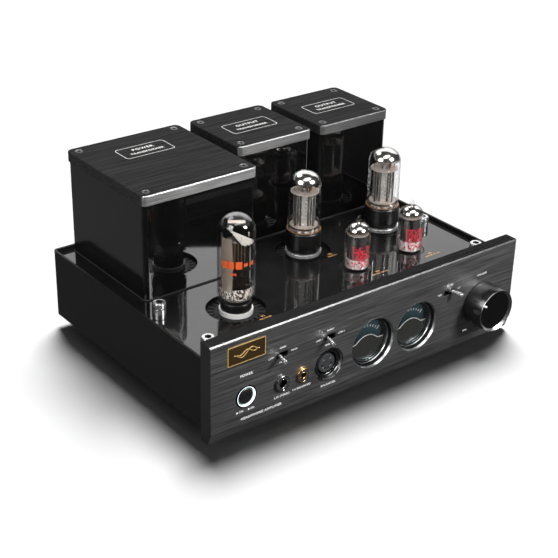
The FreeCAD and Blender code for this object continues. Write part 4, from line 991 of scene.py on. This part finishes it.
def noval_print(number, body, at, radius, low):
    """Twelve rows of red strokes, the lower ones longer and with more gaps."""
    draw = random.Random(80 + number)
    bm = bmesh.new()
    for row in range(12):
        z = low + (4.0 + row * 1.55) * MM
        reach, density = (46, 0.8) if row > 4 else (52, 0.55)
        angle = -104 - reach + draw.uniform(0, 6)
        while angle < -104 + reach - 6:
            width = draw.uniform(0.5, 1.9) * MM
            if draw.random() < density:
                add_patch(bm, at, radius, angle, width, z, z + draw.uniform(0.7, 1.45) * MM)
            angle += math.degrees(width / radius) + draw.uniform(1.0, 3.0)
    piece(f"{body}_print", bm, ["red"], body)


def noval(number):
    """Valves 4 and 5: miniature all-glass types with nine pins and a sealed tip."""
    body, at, radius, low, high = valve_frame(number)
    shoulder, wall = high - 5.6 * MM, 0.7 * MM
    top = tipped(radius, shoulder - 9.2 * MM, shoulder, 2.1 * MM, high)
    foot = [(radius, low + 4 * MM), *arc(radius - 1.4 * MM, low + 1.5 * MM, 1.4 * MM, 0, -80, 5),
            (radius - 3 * MM, low)]
    valve_glass(body, at, top, foot, wall)
    silvering(number, at, top, wall, shoulder, 9.5, 12.5, shoulder - 16.5 * MM, 1.2 * MM)
    noval_inside(number, body, at, radius, low)
    stem_glints(number, at, mm([(-0.8, 1.4), (-0.8, 9.5)], radius, low), "red_stem")
    noval_print(number, body, at, radius, low)


rectifier()
for octal_number in (2, 3):
    octal(octal_number)
for noval_number in (4, 5):
    noval(noval_number)


# case

def panel_paint(face):
    """A bright top chamfer, sides in a near-black painted shade, upward faces in a darker painted-shade copy
    of the brushing, and brushed faces elsewhere.
    """
    middle, normal = face.calc_center_median(), face.normal
    if normal.y < -0.2 and normal.z > 0.25 and middle.z > PANEL_HIGH.z - 2 * MM:
        return 1
    if abs(normal.x) > 0.25 and abs(middle.x) > PANEL_HIGH.x - 1.2 * MM:
        return 2
    return 3 if normal.z > 0.5 else 0


def front_paint(face):
    """The second material for faces that look forward: on the caps a painted lit copy of the brushed finish;
    on the covers the mirror gloss, the other faces getting a duller copy as painted sheen.
    """
    return 1 if face.normal.y < -0.5 else 0


def socket_paint(face):
    """White ceramic for the rectifier's socket, black for the others."""
    apart = face.calc_center_median() - VALVES[1]
    return 0 if Vector((apart.x, apart.y)).length < 20 * MM else 1


def post_paint(face):
    """Painted shade: near-black inside the hexagon sockets."""
    middle = face.calc_center_median()
    low, high = POSTS
    radius, socket, floor = 5.4 * MM, 3.2 * MM, DECK + 3 * MM
    x = min(abs(middle.x - low.x - radius), abs(middle.x - high.x + radius))
    y = min(abs(middle.y - low.y - radius), abs(middle.y - high.y + radius))
    inside = Vector((x, y)).length < socket and middle.z > floor
    return 1 if inside and middle.z < high.z - 0.1 * MM else 0


def gaskets():
    """A thin dark strip round the foot of each transformer cover."""
    bm = bmesh.new()
    for side in ("left", "middle", "right"):
        low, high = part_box(f"transformer_cover_{side}")
        outline = rectangle(high.x - low.x + 0.8 * MM, high.y - low.y + 0.8 * MM, 4.4 * MM)
        at = Vector(((low.x + high.x) / 2, (low.y + high.y) / 2, 0))
        add_prism(bm, outline, DECK, DECK + 1.1 * MM, at, bevel=0.2 * MM)
    piece("cover_gaskets", bm, ["rubber"], "chassis")


def flares():
    """Turned linings of the two meter openings and of the balanced socket's opening."""
    openings = [(PIVOTS[f"needle_swing_{number}"].x, METER_Z, 21.6, 19.3, 5.0, 0) for number in (1, 2)]
    openings.append((XLR.x, XLR.z, 13.8, 12.1, 2.5, 1))
    dark_step = {3: 2}
    bm = bmesh.new()
    for x, z, wide, narrow, depth, material in openings:
        profile = [(wide + 0.35, -0.1), (wide + 0.35, 0.04), (wide - 0.05, 0.04), (wide - 0.85, -1.7),
                   (narrow + 0.15, 0.6 - depth), (narrow - 0.15, -depth), (narrow + 0.1, -depth - 0.1),
                   (wide + 0.1, -0.15)]
        add_lathe(bm, mm(profile), Vector((x, FRONT, z)), FACING, 160, True, material, dark_step)
    piece("opening_flares", bm, ["flare", "black_nickel", "knob_face"], "chassis")


def case():
    """Panel, chassis, deck, covers, caps and the rear fittings."""
    panel_finishes = ["panel", "panel_edge", "panel_side_painted_shade", "panel_top_painted_shade"]
    softened("front_panel", panel_finishes, 0.12, panel_paint)
    for side in ("left", "middle", "right"):
        softened(f"transformer_cover_{side}", ["cover_side_painted_sheen", "cover"], 0.3, front_paint)
        # The caps' forward faces take the painted lit copies of their finish.
        softened(f"cap_{side}", ["cap", f"cap_front_{side}"], 0.15, front_paint)
    softened("valve_sockets", ["ceramic", "socket_black"], 0.4, socket_paint)
    softened("cage_posts", ["satin_steel", "dark"], 0.25, post_paint)
    softened("fuse_drawer", ["moulded"], 0.4, body="fuse_drawer")
    plain = [
        ("chassis_shell", "chassis_black", "chassis", 0.3),
        ("deck_plate", "deck_black", "deck", 0.35),
        ("cap_screws", "screw_black", "screw", 0.2),
        ("vent_rings", "vent_black", "vent", 0.15),
        ("socket_trim_rings", "bright_metal", "satin_ring", 0.3),
        ("feet", "foot_rubber", "rubber", 0.6),
        ("phones_jack_large", "jack_nickel", "black_nickel", 0.3),
        ("phones_jack_small", "jack_gold", "brass", 0.25),
        ("phones_xlr_shell", "xlr_shell_metal", "black_nickel", 0.25),
        ("phones_xlr_insert", "xlr_insert_grey", "moulded", 0.25),
        ("mains_inlet", "inlet_plastic", "moulded", 0.5),
        ("line_sockets", "contact_brass", "brass", 0.2),
        ("meter_housings", "meter_black", "meter_body", 0.3),
    ]
    for node, slot, material, width in plain:
        softened(node, [material], width)
    dressed("inside", "chassis_frame", "bottom_plate")
    dressed("nickel", "inlet_blades")
    dressed("core", "power_transformer_core", "output_transformer_cores")
    dressed("tape", "power_transformer_coil", "output_transformer_coils")
    dressed("board", "circuit_board")
    dressed("sleeve", "filter_capacitors")
    dressed("screw", "power_switch", "volume_potentiometer", "volume_shaft", "selector_switches")


def nameplate():
    """A blank brown plate in a raised gilt border, with a plain ornament of two waves."""
    low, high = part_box("nameplate")
    at = Vector(((low.x + high.x) / 2, FRONT, (low.z + high.z) / 2))
    width, height, border = high.x - low.x, high.z - low.z, 0.6 * MM
    rise = FRONT - low.y
    sunk = rise * 0.45
    bm = bmesh.new()
    field = rectangle(width - border, height - border, 0.4 * MM)
    add_prism(bm, field, -0.6 * MM, sunk, at, FACING)
    inner = rectangle(width - 2 * border, height - 2 * border, 0.3 * MM, 4)
    add_frame(bm, rectangle(width, height, 0.7 * MM, 4), inner, rise, at, FACING, 1)
    ornament = at - Vector((0, sunk + 0.15 * MM, 0))
    for phase, reach, size in ((0.0, 11.5, 3.6), (1.4, 9.0, 2.2)):
        points = []
        for step in range(41):
            t = step / 40 * 2 - 1
            wave = size * math.sin(3.4 * t + phase) * (1 - t * t)
            points.append(ornament + Vector((reach * t, 0, wave)) * MM)
        add_tube(bm, points, 0.38 * MM, material=1)
    piece("nameplate_shape", bm, ["plate", "gilt"], "chassis", ["nameplate"])


def power_ring():
    """The lit ring and its dark bezel."""
    outer, inner = radius_of("power_button_ring"), 7.75 * MM
    at = Vector((POWER.x, FRONT, POWER.z))
    bezel = filleted(mm([(-1.15, -2), (0, -2), (0, 0.5, 0.4), (-1.15, 0.65, 0.2)], outer), closed=True)
    light = filleted([(inner, -2 * MM), *mm([(-1.16, -2), (-1.16, 0.6, 0.3)], outer),
                      (inner, 0.45 * MM, 0.2 * MM)], closed=True)
    bm = bmesh.new()
    add_lathe(bm, bezel, at, FACING, closed=True)
    add_lathe(bm, light, at, FACING, closed=True, material=1)
    piece("power_ring", bm, ["screw", "ring_light"], "chassis", ["power_button_ring"])


def power_button():
    """The domed button on its stem."""
    low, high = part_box("power_button")
    radius, stem, bulge = radius_of("power_button"), 3.0 * MM, 1.7 * MM
    front, back = FRONT - low.y, FRONT - high.y
    shoulder = front - 7 * MM
    profile = [(0, back), (stem, back), (stem, shoulder), (radius, shoulder)]
    for step in range(12):
        angle = math.pi / 2 * step / 12
        profile.append((radius * math.cos(angle) ** 0.55, front - bulge + bulge * math.sin(angle)))
    profile.append((0, front))
    lathe("power_button_cap", profile, Vector((POWER.x, FRONT, POWER.z)), "power_button",
          ["button"], FACING, replaces=["power_button"])


def selector_levers():
    """Three toggles, thicker towards a rounded tip."""
    for number in (1, 2, 3):
        node = f"selector_lever_{number}"
        pivot = PIVOTS[f"selector_throw_{number}"]
        tilt = math.radians(13 if centre(node).x > pivot.x else -13)
        length = (pivot.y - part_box(node)[0].y) / math.cos(tilt) - 0.2 * MM
        profile = filleted([*mm([(0, -6), (1.2, -6, 0.3)]), (1.2 * MM, length * 0.35, 2 * MM),
                            *mm([(1.7, -1.6, 0.8), (1.45, -0.2, 0.8), (0, 0)], z=length)])
        bm = bmesh.new()
        add_lathe(bm, profile, ORIGIN, FACING, 40)
        bmesh.ops.rotate(bm, verts=bm.verts, cent=ORIGIN, matrix=Matrix.Rotation(tilt, 3, "Z"))
        bmesh.ops.translate(bm, verts=bm.verts, vec=pivot)
        piece(f"{node}_shape", bm, ["satin_steel"], f"selector_{number}", [node])


def jack_linings():
    """Contact rings and faced noses of the two headphone jacks."""
    jacks = (("large", LARGE_JACK, 3.2 * MM, 6.6 * MM, "chrome"),
             ("small", SMALL_JACK, 2.25 * MM, 5.9 * MM, "brass"))
    for name, at, bore, nut, material in jacks:
        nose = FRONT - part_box(f"phones_jack_{name}")[0].y
        base = Vector((at.x, FRONT, at.z))
        bm = bmesh.new()
        for depth in (7.0, 14.0):
            ring = mm([(0.02, -depth), (0.05, -depth), (0.05, 1.2 - depth), (0.02, 1.2 - depth)], bore)
            add_lathe(bm, ring, base, FACING, 48, True)
        half = 0.3 * MM
        for middle in (bore + 0.5 * MM, nut - 0.5 * MM):
            turns = [TURN * k / 10 for k in range(10)]
            bead = [(middle + half * math.cos(turn), nose - 0.02 * MM + half * 0.5 * math.sin(turn))
                    for turn in turns]
            add_lathe(bm, bead, base, FACING, 64, True)
        groove = mm([(1.0, -0.3), (1.0, 0.02)], bore, nose) + mm([(-1.0, 0.02), (-1.0, -0.3)], nut, nose)
        add_lathe(bm, groove, base, FACING, 64, True, 1)
        piece(f"phones_{name}_contacts", bm, [material, "moulded"], "chassis")


def balanced_contacts():
    """Four pins in the balanced socket."""
    circle, level = 4.9 * MM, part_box("phones_xlr_insert")[0].y
    pin = mm([(0, -3), (0.9, -3), (0.9, 0.1), (0.6, 0.3), (0, 0.3)])
    bm = bmesh.new()
    for number in range(4):
        angle = TURN * (number + 0.5) / 4
        place = Vector((XLR.x + circle * math.cos(angle), level, XLR.z + circle * math.sin(angle)))
        add_lathe(bm, pin, place, FACING, 20)
    piece("phones_xlr_contacts", bm, ["satin_steel"], "chassis")


def meter_face(number, pivot):
    """A dial with its scale, and a lower cover with a bulging upper edge; a white line along that edge is a
    painted highlight, and the scale's ticks are drawn heavy enough to stand in for painted glints too.
    """
    reach, bulge_share, edge = 18.2, 0.62, []
    for step in range(25):
        t = step / 24 * 2 - 1
        bulge = max(0, 1 - (t / bulge_share) ** 2) ** 0.9 * (abs(t) < bulge_share)
        edge.append((reach * t, -1.8 + 5.5 * bulge))
    cover_at = Vector((pivot.x, LENS_HIGH.y + 2.2 * MM, METER_Z))
    bm = bmesh.new()
    disc = filleted(mm([(0, 0), (18.8, 0, 0.2), (18.8, 0.5)]))
    add_lathe(bm, disc, Vector((pivot.x, DIAL_FRONT + 0.5 * MM, METER_Z)), FACING, 72)
    add_prism(bm, mm(edge + list(arc(0, 0, 18.4, -13, -167, 22))), 0, 1.0 * MM, cover_at, FACING, material=1)
    # A white line along the cover's top edge: a painted highlight.
    painted_highlight_edge = [cover_at + Vector((x, -0.9 * MM, z)) for x, z in mm(edge[1:-1])]
    add_tube(bm, painted_highlight_edge, 0.3 * MM, material=2)
    # White scale ticks, drawn heavier than a scale needs so that they also stand in for painted glints.
    for tick in range(11):
        angle = math.radians(135 - 9 * tick)
        out = Vector((math.cos(angle), 0, math.sin(angle)))
        start = Vector((pivot.x, DIAL_FRONT - 0.06 * MM, pivot.z)) + out * (reach * MM)
        length = 3.4 if tick % 5 == 0 else 2.0
        add_tube(bm, [start, start + out * (length * MM)], 0.26 * MM, 6, 2)
    piece(f"meter_face_{number}", bm, ["dial", "dial_mask", "print"], "chassis")


def meter_lens(number, pivot):
    """A domed lens."""
    radius, thickness = (LENS_HIGH.z - LENS_LOW.z) / 2, 1.0 * MM
    rim, apex = FRONT - LENS_HIGH.y, FRONT - LENS_LOW.y
    outer = []
    for step in range(17):
        angle = math.radians(90 * step / 16)
        outer.append((radius * math.sin(angle), rim + (apex - rim) * math.cos(angle) ** 1.15))
    inner = [(max(x - 0.4 * MM, 0), y - thickness) for x, y in outer]
    inner[0] = (0, apex - thickness)
    lathe(f"meter_lens_{number}", outer + inner[::-1], Vector((pivot.x, FRONT, METER_Z)), "chassis",
          ["lens"], FACING)


def meter_needle(number, pivot):
    """A thin blade on its hub, at the low end of the scale."""
    node = f"meter_needle_{number}"
    rest = math.radians(135)
    start = Vector((pivot.x, centre(node).y, pivot.z))
    tip = start + Vector((math.cos(rest), 0, math.sin(rest))) * (20.5 * MM)
    bm = bmesh.new()
    add_tube(bm, [start, start.lerp(tip, 0.5), tip], 0.22 * MM)
    hub = filleted(mm([(0, 0.5), (1.8, 0.5, 0.3), (1.8, -0.4), (0, -0.4)]))
    add_lathe(bm, hub, start, FACING, 32)
    piece(f"{node}_shape", bm, ["needle"], f"needle_{number}", [node])


def meters():
    """The two level meters."""
    for number in (1, 2):
        pivot = PIVOTS[f"needle_swing_{number}"]
        meter_face(number, pivot)
        meter_lens(number, pivot)
        meter_needle(number, pivot)
    for node in ("meter_lenses", "meter_dials"):
        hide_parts(node)


def volume():
    """Glossy knob with a bright rim, a dark flat dished face and a white index mark."""
    low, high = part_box("volume_knob")
    radius = radius_of("volume_knob")
    at = Vector((KNOB.x, FRONT, KNOB.z))
    front, rear = FRONT - low.y, FRONT - high.y
    floor, dish = front - 1.8 * MM, 16.3 * MM
    grip, bore_end = 3.05 * MM, front - 4 * MM
    profile = [(0, bore_end), (grip, bore_end), (grip, rear), *mm([(-0.4, 0), (0, 0.4)], radius, rear),
               *mm([(0, -0.3), (-0.2, 0), (-0.5, 0)], radius, front), (dish, floor),
               (dish - 0.2 * MM, floor - 0.02 * MM), (0, floor - 0.02 * MM)]
    bright, dark = 1, 2
    bands = {5: bright, 6: bright, 7: bright, 8: dark, 9: dark}
    lathe("volume_knob_shape", profile, at, "volume_knob", ["knob", "flare", "knob_face"],
          FACING, 192, bands=bands, replaces=["volume_knob"])
    angle = math.radians(149)
    out, forward = Vector((math.cos(angle), 0, math.sin(angle))), Vector((0, -1, 0))
    middle = at + out * (dish - 2.6 * MM) + forward * floor
    bm = bmesh.new()
    add_prism(bm, rectangle(4.2 * MM, 1.6 * MM, 0.6 * MM), -0.3 * MM, 0.08 * MM, middle,
              (out, forward.cross(out), forward))
    piece("volume_index", bm, ["print"], "volume_knob")


case()
gaskets()
flares()
nameplate()
power_ring()
power_button()
selector_levers()
jack_linings()
balanced_contacts()
meters()
volume()
panel_prints()
cap_prints()
deck_prints()


# studio

def prop(name, bm, material, hidden):
    """A part of the studio, hidden from some kinds of ray."""
    thing = finished(name, bm, [material])
    for rays in hidden:
        setattr(thing, f"visible_{rays}", False)
    return thing


def studio_floor():
    """A wide pale floor that mirrors don't show."""
    grained("floor", grey(0.93), 0.9, 40, 10, 0.01, specular=0.0)
    bm = bmesh.new()
    bmesh.ops.create_grid(bm, x_segments=8, y_segments=8, size=9)
    return prop("floor", bm, "floor", ["glossy"])


def backdrop():
    """A pale dome that only the camera sees, so that a low view has no dark sky above the floor."""
    glowing("sky", (1, 1, 1), 1.05)
    radius = 8.5
    bm = bmesh.new()
    add_lathe(bm, list(arc(0, 0, radius, 0, 90, 16)), ORIGIN)
    prop("backdrop", bm, "sky", ["diffuse", "glossy", "transmission", "volume_scatter", "shadow"])


def towards(azimuth, elevation, distance):
    """A point seen from the middle of the amplifier; azimuth runs from the front towards the right."""
    azimuth, elevation = math.radians(azimuth), math.radians(elevation)
    middle = Vector((-0.02, -0.02, 0.09))
    return Vector((math.sin(azimuth) * math.cos(elevation), -math.cos(azimuth) * math.cos(elevation),
                   math.sin(elevation))) * distance + middle


def card(name, azimuths, elevations, strength, distance=1.6):
    """A soft box between two azimuths and two elevations that shows only in reflections."""
    glowing(f"{name}_light", (1, 1, 1), strength)
    steps = 8
    shares = [step / steps for step in range(steps + 1)]
    across = [azimuths[0] + (azimuths[1] - azimuths[0]) * share for share in shares]
    upward = [elevations[0] + (elevations[1] - elevations[0]) * share for share in shares]
    bm = bmesh.new()
    rows = [[bm.verts.new(towards(azimuth, elevation, distance)) for elevation in upward]
            for azimuth in across]
    for first, second in zip(rows, rows[1:]):
        for step in range(steps):
            bm.faces.new([first[step], second[step], second[step + 1], first[step + 1]])
    prop(name, bm, f"{name}_light", ["camera", "diffuse", "transmission", "volume_scatter", "shadow"])


def sun(name, direction, strength, spread):
    """A soft light from a direction, kept out of mirror reflections."""
    data = bpy.data.lights.new(name, "SUN")
    data.energy = strength
    data.angle = math.radians(spread)
    light = bpy.data.objects.new(name, data)
    light.rotation_euler = Vector(direction).to_track_quat("Z", "Y").to_euler()
    light.visible_glossy = False
    scene.collection.objects.link(light)
    return light


def leave_out(light, thing, role):
    """Keeps a thing out of a light's receivers or blockers."""
    others = bpy.data.collections.new(f"{light.name}_{role}s")
    others.objects.link(thing)
    others.collection_objects[0].light_linking.link_state = "EXCLUDE"
    setattr(light.light_linking, f"{role}_collection", others)


def world():
    """An even, faint surround."""
    surround = bpy.data.worlds.new("surround")
    scene.world = surround
    surround.use_nodes = True
    background = surround.node_tree.nodes["Background"]
    background.inputs["Color"].default_value = (1, 1, 1, 1)
    background.inputs["Strength"].default_value = 0.035


def lighting(floor):
    """Two soft suns, and cards for the reflections in gloss, glass and metal."""
    leave_out(sun("key", (0.32, 0.35, 0.88), 4.0, 28), bpy.data.objects["volume_knob_shape"], "blocker")
    leave_out(sun("front_fill", (-0.3, -1, 0.6), 3.9, 60), floor, "receiver")
    card("card_front", (17, 37.5), (25, 41), 42)
    card("card_left", (-98, -62), (20, 50), 7)
    card("card_top", (-60, 60), (60, 82), 3)
    card("card_rear", (100, 178), (8, 45), 0.72, 2.6)
    card("card_back_top", (165, 200), (45, 62), 2.5)
    card("card_low_right", (72, 108), (-42, -14), 1.2)
    card("card_low_left", (-168, -122), (-42, -14), 0.13)
    mirrors = ("front_panel_shape", "opening_flares", "volume_knob_shape", "meter_lens_1", "meter_lens_2")
    for name in mirrors:
        bpy.data.objects[name].visible_diffuse = False


world()
paper = studio_floor()
backdrop()
lighting(paper)
scene.view_settings.view_transform = "Standard"
scene.render.film_transparent = False
